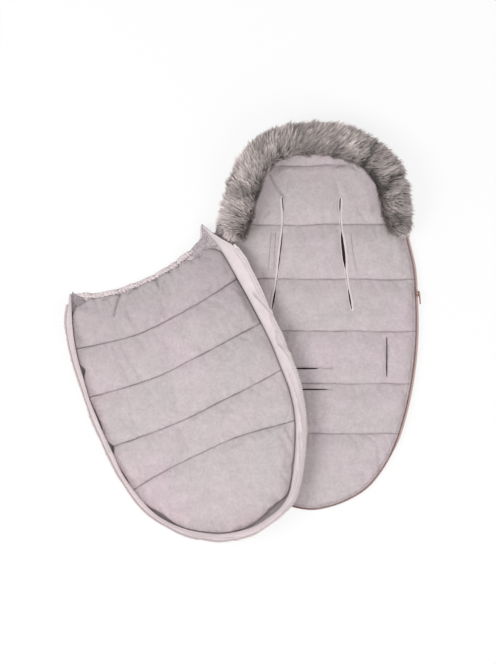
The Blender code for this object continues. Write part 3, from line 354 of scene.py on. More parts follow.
def spans(outline, y):
    """Where a closed anticlockwise outline's left and right sides are at each height y."""
    turned = np.roll(outline, -int(np.argmin(outline[:, 1])), axis=0)
    head = int(np.argmax(turned[:, 1]))
    left, right = np.vstack([turned[:1], turned[head:][::-1]]), turned[: head + 1]
    return np.interp(y, left[:, 1], left[:, 0]), np.interp(y, right[:, 1], right[:, 0])


def drift(x, y, size, seed):
    """Smooth noise from -1 to 1 in patches of about this size."""
    table = np.random.default_rng(seed).uniform(-1, 1, (61, 61))
    u, v = x / size + 23.4, y / size + 31.7
    i, j = np.floor(u).astype(int), np.floor(v).astype(int)
    a, b = smooth(u - i), smooth(v - j)
    corner = lambda di, dj: table[(i + di) % 61, (j + dj) % 61]
    low = corner(0, 0) * (1 - a) + corner(1, 0) * a
    return low * (1 - b) + (corner(0, 1) * (1 - a) + corner(1, 1) * a) * b


def back_outline():
    radius, middle, low, high = BACK_ARC
    half = BACK_LENGTH / 2
    arc_y = np.linspace(low * half, high * half, 16)
    arc_x = BACK_WIDTH / 2 - radius + np.sqrt(radius**2 - (arc_y - middle) ** 2)

    def side(way):
        foot = [
            (way * wide * arc_x[0], low * half - along * half * (1 + low)) for along, wide in FOOT_OUTLINE[::-1]
        ]
        hood = [
            (way * (right if way > 0 else left) * arc_x[-1], high * half + along * half * (1 - high))
            for along, left, right in HOOD_OUTLINE
        ]
        return foot + list(zip(way * arc_x, arc_y)) + hood

    edge = through([(0.0, -half), *side(1), (0.0039, half), *side(-1)[::-1]], closed=True)
    height, length, far = EDGE_BULGE
    edge[:, 0] += far * groove(edge[:, 1] - height, length) * (edge[:, 0] > 0)
    return edge


def cover_outline():
    half = COVER_WIDTH / 2
    left = [(-left * half, COVER_FOOT + along * COVER_LENGTH) for along, left, _ in COVER_OUTLINE]
    right = [(right * half, COVER_FOOT + along * COVER_LENGTH) for along, _, right in COVER_OUTLINE]
    return through(left[::-1] + [(0.035 * half, COVER_FOOT)] + right)


BACK_EDGE, COVER_EDGE = back_outline(), cover_outline()


def inner(outline, inset, closed=True):
    return outline - right_of(outline, closed) * inset


def back_base(x, y):
    """How far the back's underside is raised where its hood curls up."""
    near_rim = np.clip(1 - np.maximum(depth_inside(x, y, BACK_EDGE), 0.0) / HOOD_REACH, 0, 1)
    return HOOD_RISE * smooth((y - HOOD_START) / (HOOD_FULL - HOOD_START)) * near_rim**1.5


def cover_to_world(x, y):
    turn, side = math.cos(COVER_TURN), math.sin(COVER_TURN)
    return COVER_PLACE[0] + turn * x - side * y, COVER_PLACE[1] + side * x + turn * y


def drape(x, y):
    """How far the back lifts the cover that lies on it."""
    inside = depth_inside(*cover_to_world(x, y), BACK_EDGE)
    return DRAPE_RISE * smooth((inside + DRAPE_RUN + DRAPE_LEAD) / DRAPE_RUN)


def pillow(y, edges):
    """How full a channel between two seams is, from 0 on them to 1 halfway."""
    cell = np.clip(np.searchsorted(edges, y) - 1, 0, len(edges) - 2)
    along = np.clip((y - edges[cell]) / (edges[cell + 1] - edges[cell]), 0.0, 1.0)
    return np.sqrt(4.0 * along * (1.0 - along))


def quilted(inside, puff, lofts):
    edge, seam, crown, reach = lofts
    full = 1.0 - (1.0 - np.clip(inside / reach, 0.0, 1.0)) ** 2
    return edge + (seam - edge) * full + (crown - seam) * puff * full


# Node trees written as Python


class Wire:
    """An output socket. Arithmetic on it adds Math nodes."""

    def __init__(self, tree, socket):
        self.tree, self.socket = tree, socket

    def maths(self, operation, first, second):
        return self.tree.node("ShaderNodeMath", {"operation": operation}, {0: first, 1: second})

    def __add__(self, other):
        return self.maths("ADD", self, other)

    def __sub__(self, other):
        return self.maths("SUBTRACT", self, other)

    def __rsub__(self, other):
        return self.maths("SUBTRACT", other, self)

    def __mul__(self, other):
        return self.maths("MULTIPLY", self, other)

    __radd__, __rmul__ = __add__, __mul__


class Tree:
    """A node tree, with one method that adds any node."""

    def __init__(self, tree):
        self.tree = tree
        tree.nodes.clear()

    def node(self, kind, settings=None, sockets=None, out=None):
        made = self.tree.nodes.new(kind)
        for name, value in (settings or {}).items():
            if name == "stops":
                while len(made.color_ramp.elements) < len(value):
                    made.color_ramp.elements.new(1.0)
                for element, (place, colour) in zip(made.color_ramp.elements, value):
                    element.position, element.color = place, (*colour, 1.0)
            else:
                setattr(made, name, value)
        for key, value in (sockets or {}).items():
            socket = made.inputs[key] if isinstance(key, int) else self.named(made.inputs, key)
            if isinstance(value, Wire):
                self.tree.links.new(value.socket, socket)
            else:
                socket.default_value = value
        if not made.outputs:
            return made
        if out is None:
            return Wire(self, next(socket for socket in made.outputs if socket.enabled))
        return Wire(self, self.named(made.outputs, out))

    @staticmethod
    def named(sockets, name):
        return next(socket for socket in sockets if socket.name.lower() == name.lower() and socket.enabled)


class Finish(Tree):
    """A material."""

    def __init__(self, name):
        self.material = bpy.data.materials.new(name)
        self.material.use_nodes = True
        super().__init__(self.material.node_tree)

    def place(self):
        return self.node("ShaderNodeTexCoord", out="Object")

    def attribute(self, name):
        return self.node("ShaderNodeAttribute", {"attribute_name": name}, out="Fac")

    def noise(self, place, scale, detail=2.0, rough=0.5, stretch=None):
        if stretch:
            place = self.node("ShaderNodeMapping", {}, {"Vector": place, "Scale": stretch})
        sockets = {"Vector": place, "Scale": scale, "Detail": detail, "Roughness": rough}
        return self.node("ShaderNodeTexNoise", {}, sockets, out="Fac")

    def tinted(self, colour, tone):
        """The colour, made lighter or darker by a number."""
        return self.node("ShaderNodeVectorMath", {"operation": "SCALE"}, {0: colour, "Scale": tone})

    def mixed(self, share, first, second):
        sockets = {"Factor": share, "A": self.full(first), "B": self.full(second)}
        return self.node("ShaderNodeMix", {"data_type": "RGBA"}, sockets, out="Result")

    @staticmethod
    def full(colour):
        return colour if isinstance(colour, Wire) else (*colour, 1.0)

    def bump(self, height, distance, strength=1.0):
        return self.node("ShaderNodeBump", {}, {"Height": height, "Distance": distance, "Strength": strength})

    def surface(self, colour, roughness, normal=None, **more):
        """Principled surface; more holds constants of its other sockets."""
        sockets = {"Base Color": self.full(colour), "Roughness": roughness}
        sockets |= {name.replace("_", " ").title(): value for name, value in more.items()}
        if normal:
            sockets["Normal"] = normal
        shader = self.node("ShaderNodeBsdfPrincipled", {}, sockets)
        self.node("ShaderNodeOutputMaterial", {}, {"Surface": shader})
        return self.material


def plush_finish():
    """Velour: a short dense pile with brushed patches, and painted shade in its seams, creases, slits and gaps."""
    finish = Finish("plush")
    place = finish.place()
    brushed = finish.noise(place, 26.0, 3.0, 0.6, (1.0, 1.6, 1.0))
    nap = finish.noise(place, 150.0, 4.0, 0.70)
    mottle = finish.noise(place, 64.0, 3.0, 0.6)
    pile = finish.noise(place, 900.0, 2.0, 0.6)
    tone = 1.0 + (brushed - 0.5) * 0.26 + (mottle - 0.5) * 0.20 + (nap - 0.5) * 0.46 + (pile - 0.5) * 0.26
    # Painted shade from a per-point attribute: seams, creases, slits, the gaps beside the wall and the pad's
    # underside
    shut = 1.0 - finish.attribute("sewn") * 0.55
    tone = tone * finish.node("ShaderNodeMath", {"operation": "MAXIMUM"}, {0: shut, 1: 0.08})
    broad = finish.noise(place, 7.0, 2.0, 0.5)
    worn = finish.mixed((broad - 0.3) * 2.5, (0.548, 0.496, 0.502), (0.590, 0.500, 0.530))
    height = pile * 0.6 + nap * 0.5 + brushed * 0.8
    normal = finish.bump(height, 0.0014, 0.55)
    return finish.surface(finish.tinted(worn, tone), 0.96, normal, sheen_weight=0.25, sheen_roughness=0.5,
                          sheen_tint=(0.95, 0.90, 0.93, 1.0), specular_ior_level=0.1)


def melange_finish():
    """A flecked weave of dark, mid and pale yarns."""
    finish = Finish("melange")
    place = finish.place()
    warp = finish.noise(place, 1100.0, 2.0, 0.6, (1.0, 0.25, 0.6))
    weft = finish.noise(place, 1100.0, 2.0, 0.6, (0.25, 1.0, 0.6))
    fleck = finish.noise(place, 420.0, 3.0, 0.7)
    yarn = (warp + weft) * 0.5 + (fleck - 0.5) * 0.5
    stops = [(0.36, (0.230, 0.192, 0.205)), (0.50, (0.455, 0.400, 0.415)), (0.64, (0.700, 0.628, 0.646))]
    colour = finish.node("ShaderNodeValToRGB", {"stops": stops}, {"Fac": yarn})
    normal = finish.bump(warp + weft, 0.0008, 0.6)
    # Painted shade from a per-point attribute, where the cloth lies in shade
    tone = 1.0 - finish.attribute("deep") * 0.65
    return finish.surface(finish.tinted(colour, tone), 0.88, normal, specular_ior_level=0.2)


def pink_finish(name, flecks, depth=1.0):
    """Smooth pale pink cloth with a fine weave and faint creases. Depth scales its tone, which makes a darker copy
    for painted shade.
    """
    finish = Finish(name)
    place = finish.place()
    crease = finish.noise(place, 34.0, 4.0, 0.6)
    weave = finish.noise(place, 1100.0, 1.0, 0.5)
    fleck = finish.noise(place, 330.0, 3.0, 0.7)
    tone = (1.0 + (crease - 0.5) * 0.14 + (weave - 0.5) * 0.10 + (fleck - 0.5) * flecks) * depth
    # Painted shade from a per-point attribute, and painted light where it is below zero
    tone = tone * (1.0 - finish.attribute("deep") * 0.75)
    shade = finish.mixed(crease, (0.715, 0.628, 0.645), (0.780, 0.690, 0.705))
    normal = finish.bump(crease * 2.2 + weave * 0.3, 0.0016, 0.5)
    return finish.surface(finish.tinted(shade, tone), 0.72, normal, sheen_weight=0.6, sheen_roughness=0.35,
                          sheen_tint=(1.0, 0.94, 0.96, 1.0), specular_ior_level=0.25)


def gathered_finish():
    """The hem's thin weave of pale, rose and grey yarns, with painted shade down in its gathers."""
    finish = Finish("gathered_cloth")
    place = finish.place()
    yarn = finish.noise(place, 520.0, 3.0, 0.7)
    blotch = finish.noise(place, 190.0, 2.0, 0.6)
    stops = [(0.34, (0.380, 0.300, 0.310)), (0.46, (0.660, 0.550, 0.560)), (0.58, (0.830, 0.755, 0.765))]
    colour = finish.node("ShaderNodeValToRGB", {"stops": stops}, {"Fac": yarn * 0.65 + blotch * 0.35})
    tone = 1.0 - finish.attribute("deep") * 0.44
    normal = finish.bump(yarn, 0.0010, 0.6)
    return finish.surface(finish.tinted(colour, tone), 0.85, normal, specular_ior_level=0.2)


def fur_finish():
    """Hair, dark at its roots and pale at its tips. Each lock varies, and so does the coat."""
    finish = Finish("fur")
    tip, shade, vary = (finish.attribute(name) for name in ("tip", "shade", "vary"))
    stops = [
        (0.0, (0.105, 0.088, 0.086)), (0.18, (0.285, 0.244, 0.240)), (0.50, (0.540, 0.474, 0.468)),
        (0.82, (0.740, 0.664, 0.645)), (1.0, (0.800, 0.730, 0.700)),
    ]
    colour = finish.node("ShaderNodeValToRGB", {"stops": stops}, {"Fac": tip})
    # Shade holds the coat's tone along it and its painted shade; vary is each lock's random tone
    return finish.surface(finish.tinted(colour, shade * vary), 0.62, None, specular_ior_level=0.25)


def under_fur_finish():
    finish = Finish("under_fur")
    wool = finish.noise(finish.place(), 260.0, 4.0, 0.7)
    colour = finish.tinted((0.150, 0.128, 0.126), 0.6 + wool * 0.8)
    return finish.surface(colour, 0.95, finish.bump(wool, 0.003), specular_ior_level=0.1)


def tape_finish(name, colour):
    """Herringbone tape of a zip."""
    finish = Finish(name)
    place = finish.place()
    rib = finish.noise(place, 800.0, 1.0, 0.4)
    # Darker where a per-point attribute says: towards the teeth, where the tape flares
    tone = (0.92 + rib * 0.16) * (1.0 - finish.attribute("deep") * 0.62)
    return finish.surface(finish.tinted(colour, tone), 0.80, finish.bump(rib, 0.0005, 0.6))


def nylon_finish(name, colour, metallic=0.25):
    finish = Finish(name)
    wear = finish.noise(finish.place(), 420.0, 2.0)
    return finish.surface(finish.tinted(colour, 0.88 + wear * 0.24), 0.34 + wear * 0.2,
                          finish.bump(wear, 0.0002, 0.4), metallic=metallic)


def metal_finish():
    """Rose gold plating with handling wear."""
    finish = Finish("rose_metal")
    place = finish.place()
    wear = finish.noise(place, 260.0, 4.0, 0.6)
    scratch = finish.noise(place, 900.0, 1.0, 0.5, (1.0, 0.1, 1.0))
    colour = finish.mixed(wear, (0.560, 0.345, 0.275), (0.760, 0.520, 0.430))
    return finish.surface(colour, 0.22 + wear * 0.22, finish.bump(scratch, 0.00008, 0.5), metallic=1.0)


def thread_finish(name, colour):
    finish = Finish(name)
    twist = finish.noise(finish.place(), 1600.0, 1.0)
    return finish.surface(finish.tinted(colour, 0.85 + twist * 0.3), 0.7, finish.bump(twist, 0.0002, 0.6))


PLUSH, MELANGE, PINK = plush_finish(), melange_finish(), pink_finish("pink_cloth", 0.06)
# A darker copy of the pink cloth: painted shade on the small slits' bindings
SHADED_BOUND = pink_finish("bound_edge", 0.06, 0.70)
GATHERED, FUR, UNDER_FUR = gathered_finish(), fur_finish(), under_fur_finish()
TAPE = tape_finish("zip_tape", (0.680, 0.520, 0.495))
PALE_TAPE = tape_finish("pale_tape", (0.790, 0.690, 0.690))
NYLON = nylon_finish("zip_teeth", (0.690, 0.455, 0.385))
PALE_NYLON = nylon_finish("pale_teeth", (0.860, 0.780, 0.765), 0.0)
METAL = metal_finish()
SEAM_THREAD = thread_finish("seam_thread", (0.300, 0.245, 0.260))
PALE_THREAD = thread_finish("pale_thread", (0.460, 0.390, 0.410))
TOP_THREAD = thread_finish("top_thread", (0.560, 0.480, 0.500))
ZIP_THREAD = thread_finish("zip_thread", (0.760, 0.670, 0.680))

# Meshes


def cloth_mesh(name, points, faces, finishes, slots=None, edges=(), **attributes):
    """A smooth piece that stays at the origin, with its values per point."""
    mesh = bpy.data.meshes.new(name)
    mesh.from_pydata(np.asarray(points, float).tolist(), edges, [list(map(int, face)) for face in faces])
    for finish in finishes:
        mesh.materials.append(finish)
    if slots is not None:
        mesh.polygons.foreach_set("material_index", np.asarray(slots, np.int32))
    for key, values in attributes.items():
        kind = "FLOAT_VECTOR" if np.ndim(values) == 2 else "FLOAT"
        layer = mesh.attributes.new(key, kind, "POINT")
        field = "vector" if kind == "FLOAT_VECTOR" else "value"
        layer.data.foreach_set(field, np.ravel(values).astype(np.float32))
    mesh.shade_smooth()
    piece = bpy.data.objects.new(name, mesh)
    bpy.context.scene.collection.objects.link(piece)
    return piece


def grid_faces(rows, columns, start=0, flip=False, closed=False):
    """The quads of a grid of points. Closed joins its last column to its first."""
    index = np.arange(rows * columns).reshape(rows, columns) + start
    if closed:
        index = np.hstack([index, index[:, :1]])
    quads = np.stack([index[:-1, :-1], index[:-1, 1:], index[1:, 1:], index[1:, :-1]], axis=-1).reshape(-1, 4)
    return quads[:, ::-1] if flip else quads


def slab(top, low):
    """Points and faces of a closed slab between two grids, its upper one first."""
    rows, columns = top.shape[:2]
    count = rows * columns
    index = np.arange(count).reshape(rows, columns)
    ring = np.concatenate([index[0, :-1], index[:-1, -1], index[-1, :0:-1], index[:0:-1, 0]])
    after = np.roll(ring, -1)
    sides = np.stack([ring, ring + count, after + count, after], axis=1)
    faces = np.vstack([grid_faces(rows, columns), grid_faces(rows, columns, count, flip=True), sides])
    return np.vstack([top.reshape(-1, 3), low.reshape(-1, 3)]), faces


def tube(rings, closed=False):
    """Points and faces of a tube through rings of points. Its ends are joined if closed, and capped if not."""
    stations, sides = rings.shape[:2]
    points = rings.reshape(-1, 3)
    faces = grid_faces(stations, sides, closed=True).tolist()
    if closed:
        last = (stations - 1) * sides
        faces += [[last + i, last + (i + 1) % sides, (i + 1) % sides, i] for i in range(sides)]
    else:
        faces += [list(range(sides))[::-1], list(range(len(points) - sides, len(points)))]
    return points, faces


def facing_out(piece):
    """Turns a closed piece's faces outwards."""
    mesh = piece.data
    mesh.calc_loop_triangles()
    co = np.empty(len(mesh.vertices) * 3, np.float32)
    mesh.vertices.foreach_get("co", co)
    tri = np.empty(len(mesh.loop_triangles) * 3, np.int32)
    mesh.loop_triangles.foreach_get("vertices", tri)
    corners = co.reshape(-1, 3)[tri.reshape(-1, 3)].astype(float)
    if np.einsum("ij,ij->i", corners[:, 0], np.cross(corners[:, 1], corners[:, 2])).sum() < 0:
        mesh.flip_normals()
    return piece


def cut(piece, outlines, low=-0.01, high=0.09):
    """Cuts upright holes with these outlines through a piece."""
    points, faces = [], []
    for outline in outlines:
        count, start = len(outline), len(points)
        points += [(*p, low) for p in outline] + [(*p, high) for p in outline]
        ring = list(range(count))
        faces += [[start + i for i in ring[::-1]], [start + count + i for i in ring]]
        after = ring[1:] + ring[:1]
        faces += [[start + i, start + j, start + count + j, start + count + i] for i, j in zip(ring, after)]
    cutter = facing_out(cloth_mesh("cutter", points, faces, []))
    cutter.data.shade_flat()
    step = piece.modifiers.new("slits", "BOOLEAN")
    step.object, step.operation, step.solver = cutter, "DIFFERENCE", "EXACT"
    plain(piece)
    bpy.data.objects.remove(cutter)


def plain(piece):
    """Makes a piece's evaluated shape its mesh."""
    graph = bpy.context.evaluated_depsgraph_get()
    mesh = bpy.data.meshes.new_from_object(piece.evaluated_get(graph), depsgraph=graph)
    piece.modifiers.clear()
    old, piece.data = piece.data, mesh
    bpy.data.meshes.remove(old)
    return piece


def swelled(points, faces, held, slack, pressure, growth, cap, frames=20):
    """The cloth of a panel after wadding has pushed it out between the places where it is sewn down.

    Slack is how far each point is from those places. No point moves farther than the cap.
    """
    scene = bpy.context.scene
    panel = cloth_mesh("panel", points, faces, [])
    panel.vertex_groups.new(name="sewn").add(np.flatnonzero(held).tolist(), 1.0, "REPLACE")
    cloth = panel.modifiers.new("cloth", "CLOTH")
    settings = cloth.settings
    settings.quality, settings.mass = 5, 0.15
    settings.tension_stiffness = settings.compression_stiffness = 10.0
    settings.shear_stiffness, settings.bending_stiffness = 3.0, 0.15
    settings.vertex_group_mass, settings.pin_stiffness = "sewn", 1.0
    settings.use_pressure, settings.uniform_pressure_force = True, pressure
    settings.shrink_min = -growth
    settings.effector_weights.gravity = 0.0
    cloth.collision_settings.use_collision = False
    cloth.point_cache.frame_start, cloth.point_cache.frame_end = 1, frames
    for number in range(1, frames + 1):
        scene.frame_set(number)
    shape = panel.evaluated_get(bpy.context.evaluated_depsgraph_get()).data
    moved = np.empty(len(shape.vertices) * 3, np.float32)
    shape.vertices.foreach_get("co", moved)
    scene.frame_set(1)
    bpy.data.objects.remove(panel)
    step = moved.reshape(-1, 3) - points
    step[:, :2] *= smooth(slack / 0.012)[:, None]
    length = np.linalg.norm(step, axis=1)[:, None]
    return points + step * np.minimum(1.0, cap / np.maximum(length, 1e-9))


# Repeats along paths


def group_of(name, inputs):
    """A new group of geometry nodes, its first input, and a function that gives any of its inputs."""
    tree = bpy.data.node_groups.new(name, "GeometryNodeTree")
    for given, kind in inputs:
        tree.interface.new_socket(given, in_out="INPUT", socket_type="NodeSocket" + kind)
    tree.interface.new_socket("Made", in_out="OUTPUT", socket_type="NodeSocketGeometry")
    nodes = Tree(tree)
    entry = nodes.node("NodeGroupInput", out=inputs[0][0])
    return nodes, entry, lambda given: Wire(nodes, Tree.named(entry.socket.node.outputs, given))


def realized(nodes, placed, finish):
    """Ends a group of nodes: makes its instances real and gives them their finish."""
    real = nodes.node("GeometryNodeRealizeInstances", {}, {"Geometry": placed})
    done = nodes.node("GeometryNodeSetMaterial", {}, {"Geometry": real, "Material": finish})
    nodes.node("NodeGroupOutput", {}, {"Made": done})
    return nodes.tree


def strung_tree():
    """Items at an even pitch along paths, upright along the vectors stored on them."""
    nodes, entry, given = group_of(
        "strung", (("Paths", "Geometry"), ("Item", "Object"), ("Pitch", "Float"), ("Finish", "Material")))
    curve = nodes.node("GeometryNodeMeshToCurve", {}, {"Mesh": entry})
    dots = nodes.node("GeometryNodeCurveToPoints", {"mode": "LENGTH"}, {"Curve": curve, "Length": given("Pitch")})
    tangent = Wire(nodes, Tree.named(dots.socket.node.outputs, "Tangent"))
    up = nodes.node("GeometryNodeInputNamedAttribute", {"data_type": "FLOAT_VECTOR"}, {"Name": "up"},
                    out="Attribute")
    along = nodes.node("FunctionNodeAlignRotationToVector", {"axis": "X"}, {"Vector": tangent})
    turn = nodes.node("FunctionNodeAlignRotationToVector", {"axis": "Z", "pivot_axis": "X"},
                      {"Rotation": along, "Vector": up})
    item = nodes.node("GeometryNodeObjectInfo", {}, {"Object": given("Item")}, out="Geometry")
    placed = nodes.node("GeometryNodeInstanceOnPoints", {}, {"Points": dots, "Instance": item, "Rotation": turn})
    return realized(nodes, placed, given("Finish"))


def grown_tree():
    """Tufts of hair grown from a pelt, combed along the vectors stored on it."""
    nodes, entry, given = group_of("grown", (
        ("Pelt", "Geometry"), ("Tufts", "Collection"), ("Density", "Float"), ("Ruffle", "Float"),
        ("Clump", "Float"), ("Seed", "Int"), ("Finish", "Material")))
    stored = lambda name, kind: nodes.node(
        "GeometryNodeInputNamedAttribute", {"data_type": kind}, {"Name": name}, out="Attribute")
    vector = lambda operation, sockets: nodes.node("ShaderNodeVectorMath", {"operation": operation}, sockets)
    density = given("Density") * stored("thick", "FLOAT")
    roots = nodes.node("GeometryNodeDistributePointsOnFaces", {"distribute_method": "RANDOM"},
                       {"Mesh": entry, "Density": density, "Seed": given("Seed")})
    place = nodes.node("GeometryNodeInputPosition")
    clump = nodes.node("ShaderNodeTexNoise", {}, {"Vector": place, "Scale": given("Clump"), "Detail": 2.0},
                       out="Color")
    clump = vector("SUBTRACT", {0: clump, 1: (0.5, 0.5, 0.5)})
    ruffle = vector("SCALE", {0: clump, "Scale": given("Ruffle") * 4.0})
    spread = nodes.node("FunctionNodeRandomValue", {"data_type": "FLOAT_VECTOR"},
                        {"Min": (-1.0, -1.0, -1.0), "Max": (1.0, 1.0, 1.0), "Seed": given("Seed")})
    spread = vector("SCALE", {0: spread, "Scale": given("Ruffle") * 0.36})
    way = vector("ADD", {0: vector("ADD", {0: stored("comb", "FLOAT_VECTOR"), 1: ruffle}), 1: spread})
    rise = nodes.node("FunctionNodeAlignRotationToVector", {"axis": "Z"}, {"Vector": way})
    turn = nodes.node("FunctionNodeAlignRotationToVector", {"axis": "X", "pivot_axis": "Z"},
                      {"Rotation": rise, "Vector": stored("sag", "FLOAT_VECTOR")})
    grow = nodes.node("FunctionNodeRandomValue", {"data_type": "FLOAT"}, {"Min": 0.72, "Max": 1.18, "Seed": 3})
    vary = nodes.node("FunctionNodeRandomValue", {"data_type": "FLOAT"}, {"Min": 0.70, "Max": 1.28, "Seed": 5})
    kept = nodes.node("GeometryNodeStoreNamedAttribute", {"data_type": "FLOAT", "domain": "POINT"},
                      {"Geometry": roots, "Name": "vary", "Value": vary})
    tufts = nodes.node("GeometryNodeCollectionInfo", {},
                       {"Collection": given("Tufts"), "Separate Children": True, "Reset Children": True})
    placed = nodes.node("GeometryNodeInstanceOnPoints", {}, {
        "Points": kept, "Instance": tufts, "Pick Instance": True, "Rotation": turn,
        "Scale": grow * stored("long", "FLOAT")})
    return realized(nodes, placed, given("Finish"))


STRUNG, GROWN = strung_tree(), grown_tree()


def made_by(tree, piece, **inputs):
    """Runs a tree on a piece with these inputs, and leaves its result as a plain mesh."""
    step = piece.modifiers.new(tree.name, "NODES")
    step.node_group = tree
    for socket in tree.interface.items_tree:
        if socket.in_out == "INPUT" and socket.name in inputs:
            step[socket.identifier] = inputs[socket.name]
    return plain(piece)


def strung(name, paths, item, pitch, finish):
    """One piece of items along paths; each path is its points and the upright vector at each."""
    points = np.vstack([path for path, _ in paths])
    ups = np.vstack([np.broadcast_to(up, path.shape) for path, up in paths])
    edges, start = [], 0
    for path, _ in paths:
        edges += [(start + i, start + i + 1) for i in range(len(path) - 1)]
        start += len(path)
    piece = cloth_mesh(name, points, [], [], edges=edges, up=ups)
    made = made_by(STRUNG, piece, Item=item, Pitch=pitch, Finish=finish)
    made.data.shade_smooth()
    return made


def hidden(piece):
    """A pattern piece that other pieces are copied from."""
    for group in piece.users_collection:
        group.objects.unlink(piece)
    return piece


def stitch(length, thick):
    """One stitch of thread: an arched rod that dips at both ends."""
    share = np.linspace(-1, 1, 5)
    ring = np.arange(5) / 5 * math.tau
    radius = thick / 2 * np.sqrt(1.05 - share**4)[:, None]
    across, up = np.cos(ring) * radius, np.sin(ring) * radius
    middle = (1 - share**2)[:, None] * thick * 0.9 - thick * 0.5
    rings = np.stack([np.broadcast_to(share[:, None] * length / 2, across.shape), across, up + middle], axis=-1)
    return hidden(facing_out(cloth_mesh("stitch", *tube(rings), [])))


def tooth():
    """One tooth: a rounded head across the chain and a waist on the tape. X along the zip, Y up the tape."""
    heads = (
        (-0.0012, 0.00080, 0.0010), (0.0006, 0.00075, 0.0011), (0.0014, 0.00130, 0.0014),
        (0.0024, 0.00125, 0.0012), (0.0028, 0.00070, 0.0007),
    )
    corner = np.array([(-1, -0.5), (-0.5, -1), (0.5, -1), (1, -0.5), (1, 0.5), (0.5, 1), (-0.5, 1), (-1, 0.5)])
    rings = np.array([[(cx * wide, y, cz * deep) for cx, cz in corner] for y, wide, deep in heads])
    return hidden(facing_out(cloth_mesh("tooth", *tube(rings), [])))


STITCH, TOOTH = stitch(0.0027, 0.0009), tooth()


# Pads


def channel_rows(edges, pitch, crowd=0.6):
    """Rows from the first edge to the last, closest together at each edge."""
    rows = [np.array([edges[0]])]
    for start, end in zip(edges, edges[1:]):
        share = np.linspace(0, 1, max(6, round((end - start) / pitch)))[1:]
        rows.append(start + (end - start) * (share - crowd * np.sin(math.tau * share) / math.tau))
    return np.concatenate(rows)


def columns_of(count):
    share = np.linspace(-1, 1, count)
    return np.sign(share) * (1 - (1 - np.abs(share)) ** 1.35)


def lip(inside, radius):
    """How full a rounded edge is, this far inside it."""
    return 0.12 + 0.88 * np.sqrt(1 - (1 - np.clip(inside / radius, 0, 1)) ** 2)


def harness_line(way, along):
    top, foot = HARNESS_TOP, HARNESS_FOOT
    x = top[0] + (foot[0] - top[0]) * np.clip(along, 0.0, None) ** 1.9 - follow(HARNESS_PULL[way], along)
    return stacked(way * x, top[1] + (foot[1] - top[1]) * along)


def straight_line(start, end, along):
    start, end = np.array(start), np.array(end)
    return start + (end - start) * np.asarray(along)[..., None]


def straight_slit(start, end, open_to):
    """A straight slit's middle line, its opening, which ends at a share of it, and its length."""
    return lambda along: straight_line(start, end, along), ((0, open_to, 0.007),), math.dist(start, end)


# Each slit's middle line, openings and length
SLITS = {
    "harness_binding_left": (lambda along: harness_line(-1, along), HARNESS, 0.275),
    "harness_binding_right": (lambda along: harness_line(1, along), HARNESS, 0.275),
    "crotch_binding_upper": straight_slit((-0.05, -0.106), (0.05, -0.106), 0.68),
    "crotch_binding_lower": straight_slit((-0.05, -0.157), (0.05, -0.157), 0.90),
    "belt_binding_left": straight_slit((-0.184, -0.0305), (-0.184, -0.1255), 1),
    "belt_binding_right": straight_slit((0.184, -0.0305), (0.184, -0.1255), 1),
}


def gape(openings, along, narrow):
    """Half of a slit's width along it: round ended openings, and shut between them."""
    half = np.zeros_like(along)
    for (start, end, width), share in zip(openings, narrow):
        middle, reach = (start + end) / 2, (end - start) / 2
        inside = np.clip(np.abs(along - middle) / reach, 0, 1)
        half = np.maximum(half, (width / 2 * share) * (1 - inside**3))
    return half


def slit_outlines(grow):
    """The outlines round every slit, wider by grow than it gapes."""
    return [slit_outline(*slit, grow, LIPS[name][0]) for name, slit in SLITS.items()]


def slit_outline(line, openings, length, grow, narrow):
    """The outline round a slit, wider by grow than it gapes."""
    past = grow / length
    along = np.linspace(-past, 1 + past, 90)
    middle = line(along)
    ends = np.sqrt(np.clip(1 - (np.clip(np.abs(along - 0.5) - 0.5, 0, None) / past) ** 2, 0.02, 1))
    if len(openings) == 1:
        ends = ends * (1 - 0.72 * smooth((along - openings[0][1] + 0.06) / 0.10) * (openings[0][1] < 1))
        middle = middle + right_of(middle) * (drift(along * length, along * 0, 0.013, 19) * 0.00035)[:, None]
    aside = right_of(middle) * ((gape(openings, along, narrow) + grow) * ends)[:, None]
    return np.vstack([middle + aside, (middle - aside)[::-1]])


def creased(x, y, creases, fall, sewn):
    """Adds creases to how far a panel is pressed down and to the painted shade there."""
    for points, depth, width, dark in creases:
        away = away_from(x, y, through(points))
        fall, sewn = fall + groove(away, width) * depth, sewn + groove(away, width * 0.45) * dark
    return fall, sewn


def surface_height(grid):
    """A function that reads the height of a grid of points, by its nearest ones."""
    flat = grid.reshape(-1, 3)
    tree = KDTree(len(flat))
    for number, point in enumerate(flat):
        tree.insert((point[0], point[1], 0.0), number)
    tree.balance()

    def height(x, y):
        found = []
        for px, py in zip(np.ravel(x), np.ravel(y)):
            near = tree.find_n((px, py, 0.0), 4)
            weights = np.array([1 / (gap + 1e-5) for _, _, gap in near])
            found.append(float((flat[[number for _, number, _ in near], 2] * weights).sum() / weights.sum()))
        return np.array(found).reshape(np.shape(x))

    return height


def zip_shows(x, y):
    """1 where the back's zip leans out from under its pad, and 0 where the pad bulges over it."""
    return smooth((0.26 - y) / 0.04) * smooth((y + 0.33) / 0.06) * (x > 0)


def back_grid(edge, tip, pitch, columns):
    """The rows of a grid that fills the back's edge but for a little at each tip, and its points."""
    rows = channel_rows([edge[:, 1].min() + tip, *BACK_SEAMS, edge[:, 1].max() - tip], pitch)
    left, right = spans(edge, rows)
    x = ((left + right) / 2)[:, None] + ((right - left) / 2)[:, None] * columns_of(columns)
    return rows, x, np.repeat(rows[:, None], x.shape[1], axis=1)


